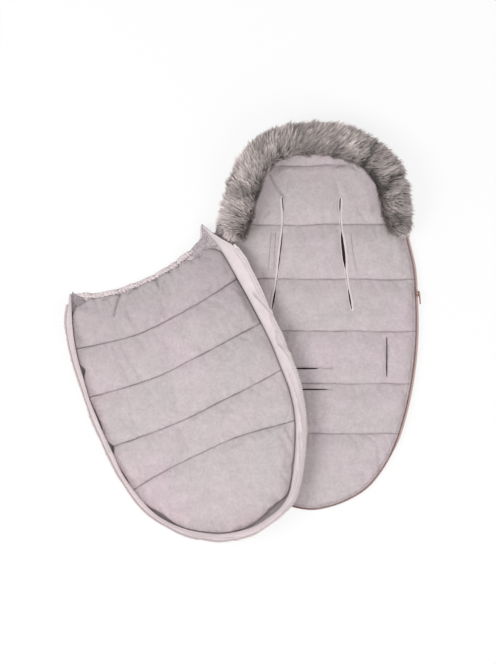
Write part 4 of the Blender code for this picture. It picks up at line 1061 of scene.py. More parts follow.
def back_pad():
    """The back's padding under its quilted plush. Gives the pad, its upper grid and the grid's rows."""
    edge = inner(BACK_EDGE, BACK_MARGIN)
    rows, x, y = back_grid(edge, 0.0006, PAD_GRID, 147)
    inside = depth_inside(x, y, edge)
    puff = pillow(y, BACK_CELLS)
    seam_gap = np.min(np.abs(y[..., None] - BACK_SEAMS), axis=-1)
    top_seam = np.abs(y - BACK_SEAMS[-1])
    waves = drift(x, y * 0.35, 0.070, 91) * 0.0022 + drift(x, y, 0.024, 92) * 0.0007
    waves = waves + drift(x, y * 0.3, 0.010, 94) * 0.0004
    y = y + waves * np.clip(inside / 0.03, 0, 1)
    middle = (x[:, :1] + x[:, -1:]) / 2
    away = unit(stacked(x - middle, (y - 0.02) * 0.45))
    bulge = 0.0030 * (1 - zip_shows(x, y)) * fading(inside, 0.010)
    x, y = x + away[..., 0] * bulge, y + away[..., 1] * bulge
    base = back_base(x, y)
    loft = quilted(inside, puff * PUFF, BACK_LOFTS) + PLUSH_CLOTH
    low = base + SHELL_CLOTH + PLAY
    beyond = np.clip((np.abs(x - YOKE[0]) - YOKE[1]) / 0.03, 0, 1)
    slit_gap = np.min([away_from(x, y, outline, True) for outline in slit_outlines(SLIT_BOUND)], axis=0)
    held = (inside < 0.0025) | (seam_gap < 0.0006) | (slit_gap < 0.0030)
    top = stacked(x, y, low + loft * lip(inside, 0.008))
    slack = np.minimum(np.minimum(seam_gap, inside), slit_gap).ravel()
    top = swelled(top.reshape(-1, 3), grid_faces(*x.shape), held.ravel(), slack, 3.0, 0.016, 0.005)
    top = top.reshape(*x.shape, 3)
    x, y = top[..., 0], top[..., 1]
    shut = groove(np.where(top_seam < seam_gap + 1e-9, seam_gap + beyond * 0.02, seam_gap), 0.0014)
    shut = shut * (0.80 + 0.40 * drift(x, y, 0.026, 37))
    fall = shut * 0.0022 + groove(slit_gap, 0.0050) * 0.0010 + groove(inside - TOPSTITCH_IN, 0.0012) * 0.0009
    # Painted shade in the seams, along the topstitching and round the slits
    sewn = shut * 0.62 + groove(inside - TOPSTITCH_IN, 0.0009) * 0.35 + groove(slit_gap, 0.0022) * 0.25
    fall, sewn = creased(x, y, BACK_CREASES, fall, sewn)
    for points in STAYS:
        fall = fall + groove(away_from(x, y, through(points)), 0.0024) * 0.0010
    soft = drift(x, y, 0.045, 3) * 0.0008 + drift(x, y, 0.017, 4) * 0.0004
    top[..., 2] += (soft - fall) * np.clip(inside / 0.006, 0, 1)
    top[..., 2] = np.maximum(top[..., 2], low + THINNEST)
    points, faces = slab(top, stacked(x, y, low))
    sewn = np.concatenate([np.clip(sewn, 0, 1).ravel(), np.zeros(sewn.size)])
    pad = facing_out(cloth_mesh("back_pad", points, faces, [PLUSH], sewn=sewn))
    cut(pad, slit_outlines(SLIT_CUT))
    return pad, top, rows


def back_outer():
    """The outer cloth under the pad, which reaches a little past it all round."""
    _, x, y = back_grid(BACK_EDGE, 0.0004, CLOTH_GRID, 61)
    low = back_base(x, y)
    points, faces = slab(stacked(x, y, low + SHELL_CLOTH), stacked(x, y, low))
    outer = facing_out(cloth_mesh("back_outer", points, faces, [MELANGE]))
    cut(outer, slit_outlines(SLIT_CUT))
    return outer


def bindings(height):
    """Rolled edges round each slit. A harness slit's outer lip is wider and lies over its inner one."""
    for name, (line, openings, length) in SLITS.items():
        narrow, wide, thin = LIPS[name]
        harness = wide > thin
        outline = slit_outline(line, openings, length, SLIT_BOUND, narrow)
        path = resampled(np.vstack([outline, outline[:1]]), 261)[:-1]
        out = right_of(path, closed=True)
        middle = line(np.linspace(-0.05, 1.05, 60))[::-1]
        side = path[:, 0] - np.interp(path[:, 1], middle[:, 1], middle[:, 0])
        side = side * math.copysign(1, path[:, 0].mean())
        radius = thin + (wide - thin) * smooth(0.5 + side / 0.003)
        level = height(*(path + out * 0.0015).T) - 0.0004 + radius * 0.25
        wander = drift(path[:, 0], path[:, 1], 0.014, 8) * 0.00030
        turn = np.arange(10) / 10 * math.tau
        across = np.cos(turn)[None] * (radius + wander)[:, None] + (radius * 0.7)[:, None]
        up = np.sin(turn)[None] * (radius * 0.55 + 0.0003)[:, None] + level[:, None]
        rings = np.concatenate([path[:, None] + out[:, None] * across[..., None], up[..., None]], axis=-1)
        points, faces = tube(rings, closed=True)
        foot = np.full(len(path), PLAY * 2)
        under = path + out * 0.0006
        corners = ((path, level), (path, foot), (under, foot), (under, level))
        skirt = np.stack([np.column_stack(pair) for pair in corners], axis=1)
        more, sides = tube(skirt, closed=True)
        faces = faces + [[i + len(points) for i in face] for face in sides]
        # The small slits' bindings take the darker copy of the pink cloth, as painted shade
        finish = PINK if harness else SHADED_BOUND
        piece = facing_out(cloth_mesh(name.replace("binding", "lip"), np.vstack([points, more]), faces, [finish]))
        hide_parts(name)
        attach(piece, "back")


def stitch_paths(top, rows, seams, skip, lift=0.0003, ends=4):
    """Paths along the rows of a grid at the seams, broken where skip says."""
    paths = []
    for seam in seams:
        line = top[int(np.argmin(np.abs(rows - seam)))][ends:-ends].copy()
        line[:, 2] += lift
        good = ~skip(line[:, 0], line[:, 1])
        for part in np.split(np.arange(len(line)), np.flatnonzero(np.diff(good.astype(int))) + 1):
            if good[part[0]] and len(part) > 2:
                paths.append((line[part], (0.0, 0.0, 1.0)))
    return paths


def back_stitches(top, rows, height):
    """The back's quilting, the topstitching round its edge and the stays beside its harness slits."""

    def near_slit(x, y):
        return np.any([depth_inside(x, y, outline) > 0 for outline in slit_outlines(0.004)], axis=0)

    def out_of_yoke(x, y):
        return (np.abs(x - YOKE[0]) > YOKE[2]) | near_slit(x, y)

    paths = stitch_paths(top, rows, BACK_SEAMS[:-1], near_slit)
    paths += stitch_paths(top, rows, BACK_SEAMS[-1:], out_of_yoke)
    quilting = strung("back_quilting", paths, STITCH, STITCH_PITCH, PALE_THREAD)
    edge = inner(BACK_EDGE, BACK_MARGIN + TOPSTITCH_IN)
    edge = resampled(np.vstack([edge, edge[:1]]), 500)
    upright = lambda line, lift: (np.column_stack([line, height(*line.T) + lift]), (0.0, 0.0, 1.0))
    topstitch = strung("back_topstitch", [upright(edge, 0.0002)], STITCH, STITCH_PITCH, TOP_THREAD)
    stays = [upright(resampled(through(points), 40), 0.0005) for points in STAYS]
    stays = strung("back_stays", stays, STITCH, STAY_PITCH, SEAM_THREAD)
    for piece in (quilting, topstitch, stays):
        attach(piece, "back")


# Zip


def leaning(path, level, lean):
    """Points along the foot of a wall, the direction up the wall and the direction square to it."""
    outward = np.column_stack([right_of(path), np.zeros(len(path))])
    upward = np.broadcast_to((0.0, 0.0, 1.0), (len(path), 3))
    lean = np.broadcast_to(lean, len(path))[:, None]
    base = np.column_stack([path, np.broadcast_to(level, len(path))])
    rising = outward * np.cos(lean) + upward * np.sin(lean)
    return base, rising, upward * np.cos(lean) - outward * np.sin(lean)


def ribbon(name, base, rising, square, start, width, thick, finish, waves=0.0, deep=0.0):
    """A strip of tape along a path, with a faint wave along it."""
    share = np.linspace(0, 1, 5)
    along = distances(base)
    wave = drift(along, along * 0 + 0.3, 0.03, 12)[:, None] * share * waves
    grid = base[:, None] + rising[:, None] * (start + width * share)[None, :, None]
    grid = grid + square[:, None] * wave[..., None]
    half = square[:, None] * thick / 2
    points, faces = slab(grid + half, grid - half)
    deep = np.tile((np.broadcast_to(deep, len(base))[:, None] * share**2).ravel(), 2)
    return facing_out(cloth_mesh(name, points, faces, [finish], deep=deep)), grid


def back_zip():
    """The back's half of the zip, from its right side round the foot to the left."""
    turned = np.roll(BACK_EDGE, -int(np.argmax(BACK_EDGE[:, 1])), axis=0)
    path = resampled(turned[turned[:, 1] < 0.218], 700)
    shows = zip_shows(*path.T)
    path = path - right_of(path) * (0.0006 + (BACK_MARGIN / 2 - 0.0006) * shows)[:, None]
    lean = TAPE_HIDDEN + (TAPE_LEAN - TAPE_HIDDEN) * shows
    base, rising, square = leaning(path, SHELL_CLOTH + PLAY + TAPE_CLOTH / 2, lean)
    tape, _ = ribbon("back_tape", base, rising, square, 0.0, TAPE_WIDTH, TAPE_CLOTH, TAPE)
    heads = base + rising * (TAPE_WIDTH + PLAY)
    return tape, strung("back_teeth", [(heads, square)], TOOTH, TOOTH_PITCH, NYLON)


# Fur


def pelt(path, along, base_z, inward, start, end, name, whole=False):
    """The skin under a run of the fur, with how its hair lies on each point. Whole closes it underneath."""
    keep = (along >= start - 1e-9) & (along <= end + 1e-9)
    path, share, base_z, inward = path[keep], along[keep], base_z[keep], inward[keep]
    ahead = unit(np.gradient(path, axis=0))
    turn = np.arange(FUR_SIDES) * 360 / FUR_SIDES if whole else np.linspace(-38, 218, FUR_SIDES)
    turn = np.radians(turn)
    girth = follow(FUR_GIRTH, share)
    ends = np.sqrt(np.clip(1 - (1 - np.clip(np.minimum(share, 1 - share) / 0.032, 0, 1)) ** 2, 0.02, 1))
    wide, tall = FUR_WIDE * girth * ends, FUR_TALL * girth * ends
    inward3, ahead3 = np.column_stack([inward, 0 * share]), np.column_stack([ahead, 0 * share])
    up3 = np.array((0.0, 0.0, 1.0))
    middle = np.column_stack([path, base_z + FUR_LIFT])
    normal = unit(inward3[:, None] * np.cos(turn)[:, None] * 0.8 + up3 * np.sin(turn)[:, None])
    around = unit(up3 * np.cos(turn)[:, None] * 0.8 - inward3[:, None] * np.sin(turn)[:, None])
    points = middle[:, None] + inward3[:, None] * (np.cos(turn)[None] * wide[:, None])[..., None]
    points = points + up3 * (np.sin(turn)[None] * tall[:, None])[..., None]
    sweep = follow(FUR_SWEEP, share)[:, None, None]
    comb = unit(normal * 0.52 + around * 0.60 + ahead3[:, None] * sweep)
    sag = unit(around * 0.8 - normal * 0.5 + ahead3[:, None] * 0.4 * sweep)
    px, py = points[..., 0], points[..., 1]
    parts = [groove(away_from(px, py, through(crease)), 0.0070) * depth for crease, depth in FUR_CREASES]
    part = np.max(parts, axis=0)
    low_side = smooth((np.cos(turn) - 0.45) / 0.5)[None] * np.ones_like(px)
    long = HAIR_LONG * follow(FUR_LONG, share)[:, None] * (1 - 0.40 * part) * (1 - 0.24 * low_side)
    patch = 1 + 0.26 * drift(px, py, 0.030, 21) + 0.20 * drift(px, py, 0.013, 22)
    # Painted shade where the fur parts and on its low inner side
    shade = follow(FUR_SHADE, share)[:, None] * patch * (1 - 0.60 * part) * (1 - 0.06 * low_side)
    if whole:
        return facing_out(cloth_mesh(name, *tube(points), [UNDER_FUR]))
    values = {"comb": comb.reshape(-1, 3), "sag": np.broadcast_to(sag, comb.shape).reshape(-1, 3),
              "long": long.ravel(), "shade": shade.ravel(), "thick": np.ones(px.size)}
    return cloth_mesh(name, points.reshape(-1, 3), grid_faces(len(path), FUR_SIDES), [UNDER_FUR], **values)


def tuft(number):
    """A lock of a few hairs that lean together. It is one unit long."""
    random = np.random.default_rng(40 + number)
    points, faces, tips = [], [], []
    for _ in range(5):
        root, tip = random.normal(0, 0.030, 2), random.normal(0, 0.050, 2)
        reach, curl, turn = random.uniform(0.72, 1.0), random.uniform(0.18, 0.42), random.uniform(0, math.pi)
        for step, share in enumerate(np.linspace(0, 1, 5)):
            half = 0.0150 * (1 - share) ** 0.7 * (0.75 + share)
            x = root[0] + (tip[0] - root[0]) * share + curl * share**2
            y = root[1] + (tip[1] - root[1]) * share
            z = reach * share * (1 - 0.12 * share)
            side = np.array((math.cos(turn), math.sin(turn), 0.0)) * half
            start = len(points)
            if step < 4:
                points += [np.array((x, y, z)) - side, np.array((x, y, z)) + side]
                tips += [share, share]
            else:
                points.append(np.array((x, y, z)))
                tips.append(share)
            if 0 < step < 4:
                faces.append([start - 2, start - 1, start + 1, start])
            elif step == 4:
                faces.append([start - 2, start - 1, start])
    return hidden(cloth_mesh(f"tuft_{number}", points, faces, [], tip=tips))


def above_floor(piece):
    """Lifts what is below the floor onto it."""
    co = np.empty(len(piece.data.vertices) * 3, np.float32)
    piece.data.vertices.foreach_get("co", co)
    co[2::3] = np.maximum(co[2::3], FLOOR_GAP)
    piece.data.vertices.foreach_set("co", co)


def fur():
    """The ruff on the hood's rim, in four runs of hair over one dark skin."""
    path = resampled(BACK_EDGE[BACK_EDGE[:, 1] > FUR_FOOT][::-1], FUR_STEPS)
    along = np.linspace(0, 1, len(path))
    inset = follow(FUR_INSET, along) * FUR_INWARD + BACK_MARGIN
    inward = right_of(path)
    path = path + inset[:, None] * inward
    inside = depth_inside(*path.T, BACK_EDGE)
    loft = quilted(inside, pillow(path[:, 1], BACK_CELLS), BACK_LOFTS)
    base_z = back_base(*path.T) + loft + SHELL_CLOTH + PLUSH_CLOTH
    locks = bpy.data.collections.new("locks")
    for number in range(4):
        locks.objects.link(tuft(number))
    skin = pelt(path, along, base_z, inward, 0.0, 1.0, "fur_skin", whole=True)
    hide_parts("fur_trim", "fur_backing")
    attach(skin, "back")
    density = HAIR_DENSITY
    for number, (name, start, end) in enumerate(FUR_RUNS):
        hair = pelt(path, along, base_z, inward, start, end, name)
        made_by(GROWN, hair, Tufts=locks, Density=density, Ruffle=HAIR_RUFFLE, Clump=HAIR_CLUMP,
                Seed=11 + number, Finish=FUR)
        above_floor(hair)
        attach(hair, "back")


# Cover


def lay(points):
    """Points of the cover's own frame, in the world."""
    x, y = cover_to_world(points[..., 0], points[..., 1])
    return stacked(x, y, points[..., 2])


def cover_grid(inset, pitch, columns, head):
    """The seams, rows and points of the cover's grid this far inside its edge and below its head edge.

    Its rows bow as its rows of stitching do.
    """
    edge = inner(COVER_EDGE, inset, closed=False)
    foot = edge[:, 1].min() + 0.0006
    marks = np.array([foot, *(COVER_SEAMS[:-1, 0] + COVER_FOOT), COVER_SEAMS[-1, 0] + COVER_FOOT - head])
    rows = channel_rows(marks, pitch)
    places = np.concatenate([[COVER_FOOT], COVER_SEAMS[:, 0] + COVER_FOOT])
    low = np.interp(rows, places, np.concatenate([[0.0], COVER_SEAMS[:, 1]]))
    high = np.interp(rows, places, np.concatenate([[0.0], COVER_SEAMS[:, 2]]))
    start, _ = spans(edge, rows + low)
    _, end = spans(edge, rows + high)
    u = columns_of(columns)
    x = ((start + end) / 2)[:, None] + ((end - start) / 2)[:, None] * u
    y = rows[:, None] + np.where(u < 0, low[:, None], high[:, None]) * u**2
    last = places[-2]
    y = y - follow(HEAD_DIP, u) * np.clip((rows - last) / (marks[-1] - last), 0, 1)[:, None] ** 2
    return marks, rows, x, y


def cover_pad():
    """The cover's padding under its quilted plush. Gives the pad, its upper grid, its rows and its seams."""
    edge = inner(COVER_EDGE, COVER_MARGIN, closed=False)
    marks, rows, x, y = cover_grid(COVER_MARGIN, PAD_GRID, 133, HEM_TUCK)
    inside = depth_inside(x, y, edge)
    head_gap = (rows[-1] - rows)[:, None] * np.ones_like(x)
    inside = np.minimum(inside, head_gap + 0.0002)
    fall_back = fading(inside, 0.012)
    height, length, far = SIDE_NIP
    x = x + np.sign(x) * 0.0018 * fall_back + (x < -0.15) * groove(y - height, length) * far * fall_back
    for (px, py), (dx, dy), length in RIM_BITES:
        bitten = groove(np.hypot(x - px, y - py), length) * fading(inside, 1.3 * math.hypot(dx, dy))
        x, y = x + dx * bitten, y + dy * bitten
    knots = np.max([groove(x - knot, 0.0065) for knot in HEM_KNOTS], axis=0)
    y = y - knots * 0.0042 * fading(head_gap, 0.014)
    for cx, cy, reach in CORNER_PULLS:
        gap = np.hypot(x - cx, y - cy)
        push = np.clip(1 - gap / reach, 0, 1) * reach * 0.55 / np.maximum(gap, 1e-6)
        x, y = x + (x - cx) * push, y + (y - cy) * push
    # Painted shade where the plush sinks beside the wall
    shaded = np.max([
        smooth(1.7 - away_from(x, y, through(path)) / 0.016) * groove(np.maximum(inside, 0), reach)
        for path, reach in SIDE_GAPS
    ], axis=0)
    waves = drift(x * 0.6, y, 0.060, 93) * 0.0020 + drift(x, y * 0.3, 0.014, 95) * 0.0005
    y = y + waves * np.clip(inside / 0.03, 0, 1)
    puff = np.repeat(pillow(rows, marks)[:, None], x.shape[1], axis=1)
    base = drape(x, y)
    low = base + SHELL_CLOTH + PLAY
    loft = quilted(np.maximum(depth_inside(x, y, edge), 0), puff * PUFF, COVER_LOFTS) + PLUSH_CLOTH
    seam_gap = np.min(np.abs(rows[:, None] - marks[1:-1]), axis=1)[:, None] * np.ones_like(x)
    held = (inside < 0.0025) | (seam_gap < 0.0006)
    top = stacked(x, y, low + loft * lip(inside, 0.009))
    shape = x.shape
    slack = np.minimum(seam_gap, inside).ravel()
    top = swelled(top.reshape(-1, 3), grid_faces(*shape), held.ravel(), slack, 3.2, 0.026, 0.006)
    top = top.reshape(*shape, 3)
    x, y = top[..., 0], top[..., 1]
    shut = groove(seam_gap, 0.0013 + 0.0004 * drift(x, y, 0.030, 35))
    shut = shut * (0.82 + 0.30 * drift(x, y, 0.024, 36))
    fall, sewn = shut * 0.0030 + shaded * 0.0065, shut + shaded * 0.62
    head = np.stack([x[-1], y[-1]], axis=1)
    for across, length, lean, depth, width in HEM_FOLDS:
        start = head[int(np.argmin(np.abs(head[:, 0] - across)))]
        end = start + np.array((lean, -length))
        gap = away_from(x, y, np.array([start, (start + end) / 2 + (lean * 0.12, 0), end]))
        fall = fall + groove(gap, width) * np.clip(1 - (start[1] - y) / (length * 1.15), 0, 1) * depth
    fall, sewn = creased(x, y, COVER_CREASES, fall, sewn)
    pucker = np.sin(x / 0.0062 + 3 * drift(x, y, 0.03, 31)) * fading(head_gap, 0.009)
    fall = fall + pucker * 0.0010 + knots * fading(head_gap, 0.010) * 0.0020
    # Painted shade beside the elastic's knots at the head edge
    sewn = sewn + knots * fading(head_gap, 0.004) * 0.5
    # Painted shade, stronger towards the head edge and on the right side
    sewn = sewn + 0.25 * smooth((y - 0.05) / 0.25) + 0.14 * smooth((x - 0.08) / 0.12) * smooth((y + 0.05) / 0.1)
    for side in (0, -1):
        line = np.stack([x[:, side], y[:, side]], axis=1)
        tug = fading(away_from(x, y, line), 0.012) * drift(x, y, 0.024, 33 + side)
        fall = fall + tug * 0.0012
    # Painted shade in the gap along the plush's rim, deeper on the left
    rim = groove(np.maximum(inside, 0), 0.0022) * (head_gap > 0.004)
    sewn = sewn + rim * np.where(x < -0.02, 1.3, 0.7)
    soft = drift(x, y, 0.050, 5) * 0.0010 + drift(x, y, 0.018, 6) * 0.0005
    top[..., 2] += (soft - fall) * np.clip(inside / 0.006, 0, 1)
    top[..., 2] = np.maximum(top[..., 2], low + THINNEST)
    points, faces = slab(lay(top), lay(stacked(x, y, low)))
    # Painted shade on the pad's underside and lower sides
    sewn = np.concatenate([np.clip(sewn, 0, 1.6).ravel(), np.full(sewn.size, 1.4)])
    return facing_out(cloth_mesh("cover_pad", points, faces, [PLUSH], sewn=sewn)), top, rows, marks


def cover_outer():
    """The cover's outer cloth, which shows underneath and at its edge."""
    _, _, x, y = cover_grid(0.0, CLOTH_GRID, 121, 0.0015)
    low = drape(x, y)
    points, faces = slab(lay(stacked(x, y, low + SHELL_CLOTH)), lay(stacked(x, y, low)))
    # Painted shade on the top of the outer cloth, where it shows in the gap at the wall's foot
    painted_gap_shade = 0.72 * smooth((0.300 - y) / 0.03)
    slots = np.ones(len(faces), int)
    slots[: (x.shape[0] - 1) * (x.shape[1] - 1)] = 0
    deep = np.concatenate([painted_gap_shade.ravel(), np.zeros(x.size)])
    return facing_out(cloth_mesh("cover_outer", points, faces, [PINK, MELANGE], slots, deep=deep))


def wall_foot():
    """The foot of the cover's wall, from its left end round to its right end, and the wall's height along it."""
    edge = inner(COVER_EDGE, COVER_MARGIN / 2, closed=False)
    head = COVER_FOOT + COVER_SEAMS[-1] @ np.array(((1, 1), (1, 0), (0, 1)))
    tip = int(np.argmin(edge[:, 1]))
    left, right = edge[: tip + 1], edge[tip:]
    line = resampled(np.vstack([left[left[:, 1] < head[0]], right[right[:, 1] < head[1]][1:]]), 640)
    along = distances(line)
    level = drape(*line.T) + SHELL_CLOTH + PLAY + WALL_CLOTH / 2
    lean = np.arccos(follow(WALL_LEAN, along / along[-1]))
    from_end = np.minimum(along, along[-1] - along)
    width = WALL_WIDTH * (WALL_TIP + (1 - WALL_TIP) * np.clip(from_end / WALL_TAPER, 0, 1))
    return leaning(line, level, lean), along, width


def wall_grid():
    """The middle of the wall's cloth: it bellies out, and creases run along and across it."""
    (base, rising, square), along, width = wall_foot()
    share = np.linspace(0, 1, 27)
    a, t = np.broadcast_arrays(along[:, None], share[None])
    slow, quick = drift(a, t * 0.01, 0.070, 51), drift(a, t * 0.02, 0.026, 52)
    belly = np.sin(math.pi * t) * (0.0026 * slow + 0.0012) + t**2 * 0.0012 * quick
    crease = groove(t - 0.62 - 0.22 * drift(a, 0 * t, 0.12, 54), 0.10)
    crease = crease * np.clip(drift(a, 0 * t, 0.09, 55) + 0.25, 0, 1)
    sway, folded = belly + crease * 0.0030, np.zeros_like(a)
    for points, depth in WALL_FOLDS:
        flat = np.array(points) * (1.0, WALL_WIDTH)
        gap = away_from(a, t * WALL_WIDTH, through(flat))
        sway = sway + (groove(gap, 0.0060) * 1.2 - groove(gap, 0.0016) * 1.7) * depth * 1.3
        folded = folded + groove(gap, 0.0013) * depth / 0.0042
    sway = (sway * (1 - 0.85 * smooth((t - 0.80) / 0.20)))[..., None]
    dip = (t**2) * 0.0008 * drift(a, t * 0.0, 0.045, 53)
    ends = np.clip(np.minimum(a, along[-1] - a) / 0.03, 0, 1)
    tilt = (follow(WALL_CURL, along / along[-1])[:, None] * (1 - 2 * (share[1:] + share[:-1]) / 2))[..., None]
    climb = rising[:, None] * np.cos(tilt) + square[:, None] * np.sin(tilt)
    climb = climb * (width[:, None, None] / (len(share) - 1))
    climb = np.concatenate([np.zeros_like(climb[:, :1]), np.cumsum(climb, axis=1)], axis=1)
    ends = ends[..., None]
    grid = base[:, None] + climb + rising[:, None] * dip[..., None] * ends - square[:, None] * sway * ends
    return grid, rising, square, along, folded


def cover_wall(grid, folded):
    """The cloth wall: smooth pink inside, flecked outer cloth outside."""
    across = unit(np.cross(np.gradient(grid, axis=0), np.gradient(grid, axis=1)))
    points, faces = slab(lay(grid + across * 0.0007), lay(grid - across * 0.0007))
    rows, columns = grid.shape[:2]
    each = (rows - 1) * (columns - 1)
    inside_first = across[rows // 2, columns // 2, 1] > 0
    slots = np.ones(len(faces), int)
    slots[:each] = 0 if inside_first else 1
    slots[each : 2 * each] = 1 if inside_first else 0
    up = np.linspace(0, 1, columns)[None] * np.ones((rows, 1))
    left = smooth((0.62 - np.linspace(0, 1, rows)) / 0.15)[:, None]
    # Painted shade at the wall's foot, stronger on its left, and in its folds; painted light lifts it where it is
    # turned to the light
    deep = fading(up * WALL_WIDTH, 0.0028) * (0.45 + 0.55 * left) + np.clip(folded, 0, 1) * 0.36
    deep = deep - follow(WALL_PALE, np.linspace(0, 1, rows))[:, None] * smooth(up / 0.3)
    deep = np.tile(deep.ravel(), 2)
    return facing_out(cloth_mesh("cover_wall", points, faces, [PINK, MELANGE], slots, deep=deep))


def cover_zip(grid, rising, square, along):
    """The cover's half of the zip, on the wall's rim: its tape, teeth and two rows of stitches."""
    keep = grid[:, 0, 1] < COVER_FOOT + np.where(grid[:, 0, 0] < 0, 1.025, 0.955) * COVER_LENGTH
    toothed = (grid[:, 0, 1] < COVER_FOOT + 0.955 * COVER_LENGTH)[keep]
    rim = grid[keep, -1]
    lean = unit(grid[keep, -1] - grid[keep, -3])
    sides = unit(np.cross(np.gradient(rim, axis=0), lean))
    sides = sides * np.sign((sides * square[keep]).sum(axis=1))[:, None]
    flare = follow(TAPE_FLARE, along[keep] / along[-1])[:, None]
    lean = unit(lean * 0.25 + unit(rising[keep] * (1, 1, 0)) * flare + np.array((0.0, 0.0, 0.6)))
    sides = unit(sides - lean * (sides * lean).sum(axis=1)[:, None])
    rim, lean, sides = lay(rim), turned(lean), turned(sides)
    # The tape is darker towards its teeth where it flares
    tape, strip = ribbon("cover_tape", rim, lean, sides, PLAY, TAPE_WIDTH, TAPE_CLOTH, PALE_TAPE, 0.0016,
                         smooth((flare[:, 0] - 0.15) / 0.3))
    heads = (strip[:, -1] + lean * PLAY)[toothed]
    row = strung("cover_teeth", [(heads, sides[toothed])], TOOTH, TOOTH_PITCH, PALE_NYLON)
    seams = [(strip[:, 1] + way * sides * 0.0006, way * sides) for way in (1, -1)]
    stitches = strung("cover_zip_stitches", seams, STITCH, STITCH_PITCH, ZIP_THREAD)
    return tape, row, stitches


def turned(vectors):
    """Directions in the cover's own frame, in the world."""
    turn, side = math.cos(COVER_TURN), math.sin(COVER_TURN)
    x, y = vectors[..., 0], vectors[..., 1]
    return stacked(turn * x - side * y, side * x + turn * y, vectors[..., 2])


def cover_hem():
    """The casing along the cover's head edge, gathered by the elastic in it."""
    _, _, x, y = cover_grid(0.0, CLOTH_GRID, 201, HEM_MIDDLE)
    line = np.stack([x[-1], y[-1]], axis=1)
    path = resampled(line[(line[:, 0] > HEM_ENDS[0]) & (line[:, 0] < HEM_ENDS[1])], 520)
    along = distances(path)
    aside = right_of(path)
    random = np.random.default_rng(61)
    marks = np.cumsum(random.uniform(0.0046, 0.0112, 120))
    phase = np.interp(along, marks, np.arange(120)) * math.tau
    deep = 0.55 + 0.45 * drift(along, along * 0, 0.02, 62)
    level = drape(*path.T) + SHELL_CLOTH + 2 * PLAY + HEM_SUNK
    turn = np.arange(18) / 18 * math.tau
    pleat = np.sin(phase)[:, None] * deep[:, None]
    lag = np.sin(phase[:, None] + 1.1 * np.sin(turn)[None]) * deep[:, None]
    slow = (1.0 + 0.16 * drift(along, along * 0, 0.045, 64))[:, None]
    knots = np.max([groove(path[:, 0] - knot, 0.0040) for knot in HEM_KNOTS], axis=0)[:, None]
    ends = np.sqrt(np.clip(np.minimum(along, along[-1] - along) / 0.012, 0.02, 1))[:, None]
    wide = HEM_HALF * (1.0 + 0.24 * lag) * slow * (1 - 0.26 * knots) * ends
    tall = HEM_HEIGHT / 2 * (1.04 + 0.36 * lag) * slow * (1 - 0.30 * knots) * ends
    shift = drift(along, along * 0, 0.020, 63)[:, None] * 0.0013 + pleat * 0.0010
    across = np.cos(turn)[None] * wide + shift
    up = np.sin(turn)[None] * tall + level[:, None] + 0.0004
    flat = path[:, None] + aside[:, None] * across[..., None]
    up = np.maximum(up, (level - HEM_SUNK + 0.0002)[:, None])
    rings = np.concatenate([flat, up[..., None]], axis=-1)
    # Painted shade in the hollows of the gathers and beside the knots
    hollow = np.clip(-lag - 0.25, 0, 1) * 1.1 + knots * smooth(0.2 - np.cos(turn))[None] * 0.9
    return facing_out(cloth_mesh("cover_casing", *tube(lay(rings)), [GATHERED], deep=hollow.ravel()))


def facing(name, outline, deep):
    """A flecked cloth facing at one end of the hem, ruffled where the elastic draws it in. The painted shade given
    lies over all of it, and more lies in its ruffles' hollows.
    """
    outline = resampled(through(outline, closed=True), 72)
    middle = outline.mean(axis=0)
    share = np.linspace(0.04, 1.0, 18)[:, None, None]
    flat = middle + (outline - middle) * share
    x, y = flat[..., 0], flat[..., 1]
    ruffle = drift(x + y, y - x, 0.017, 73) * 0.0018 + drift(x, y, 0.0085, 74) * 0.0010
    level = drape(x, y) + SHELL_CLOTH + PLAY + 0.0012 + np.maximum(ruffle, -0.001)
    level = level + share[..., 0] ** 3 * 0.0012
    rings = np.concatenate([stacked(x, y, level + 0.0008), stacked(x, y, level)[::-1]])
    shade = deep + np.clip(-ruffle / 0.0022, 0, 1) * 0.30
    shade = np.concatenate([shade, shade[::-1]]).ravel()
    return facing_out(cloth_mesh(name, *tube(lay(rings)), [MELANGE], deep=shade))


def cover():
    """Everything that rides on the cover."""
    pad, top, rows, marks = cover_pad()
    grid, rising, square, along, folded = wall_grid()
    tape, row, stitches = cover_zip(grid, rising, square, along)
    wall, outer, hem = cover_wall(grid, folded), cover_outer(), cover_hem()
    # The left facing lies in painted shade
    corners = [facing(name, outline, deep) for (name, outline), deep in zip(FACINGS.items(), (0.40, 0.0))]
    paths = stitch_paths(top, rows, marks[1:-1], lambda x, y: np.zeros(len(x), bool))
    paths = [(lay(path), up) for path, up in paths]
    quilting = strung("cover_quilting", paths, STITCH, STITCH_PITCH, SEAM_THREAD)
    for piece, nodes, slot in (
        (pad, ("cover_lining", "cover_wadding"), "plush"), (outer, ("cover_shell",), "melange"),
        (wall, ("cover_gusset",), "pink_cloth"), (hem, ("cover_hem", "cover_elastic"), "pink_cloth"),
        (tape, ("cover_zip_tape",), "zip_tape"), (row, ("cover_zip_coil",), "zip_coil"),
        (corners[0], ("cover_corner_left",), "melange"), (corners[1], ("cover_corner_right",), "melange"),
        (quilting, (), "plush"), (stitches, (), "zip_tape"),
    ):
        if nodes:
            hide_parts(*nodes)
        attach(piece, "cover")


def back():
    """Everything that rides on the back, apart from the fur."""
    pad, top, rows = back_pad()
    height = surface_height(top[::2, ::2])
    outer = back_outer()
    tape, row = back_zip()
    back_stitches(top, rows, height)
    bindings(height)
    for piece, nodes, slot in (
        (pad, ("back_lining", "back_wadding"), "plush"), (outer, ("back_shell",), "melange"),
        (tape, ("back_zip_tape",), "zip_tape"), (row, ("back_zip_coil",), "zip_coil"),
    ):
        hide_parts(*nodes)
        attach(piece, "back")


def dress_frame():
    """Finishes for the rigid pieces of the frame that show."""
    for name, finish in (
        ("zip_slider", METAL), ("zip_pull", METAL), ("back_zip_box", NYLON), ("back_zip_stop", NYLON),
        ("cover_zip_pin", PALE_NYLON), ("cover_zip_stop", PALE_NYLON),
    ):
        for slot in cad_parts[name].material_slots:
            slot.material = finish


# Studio


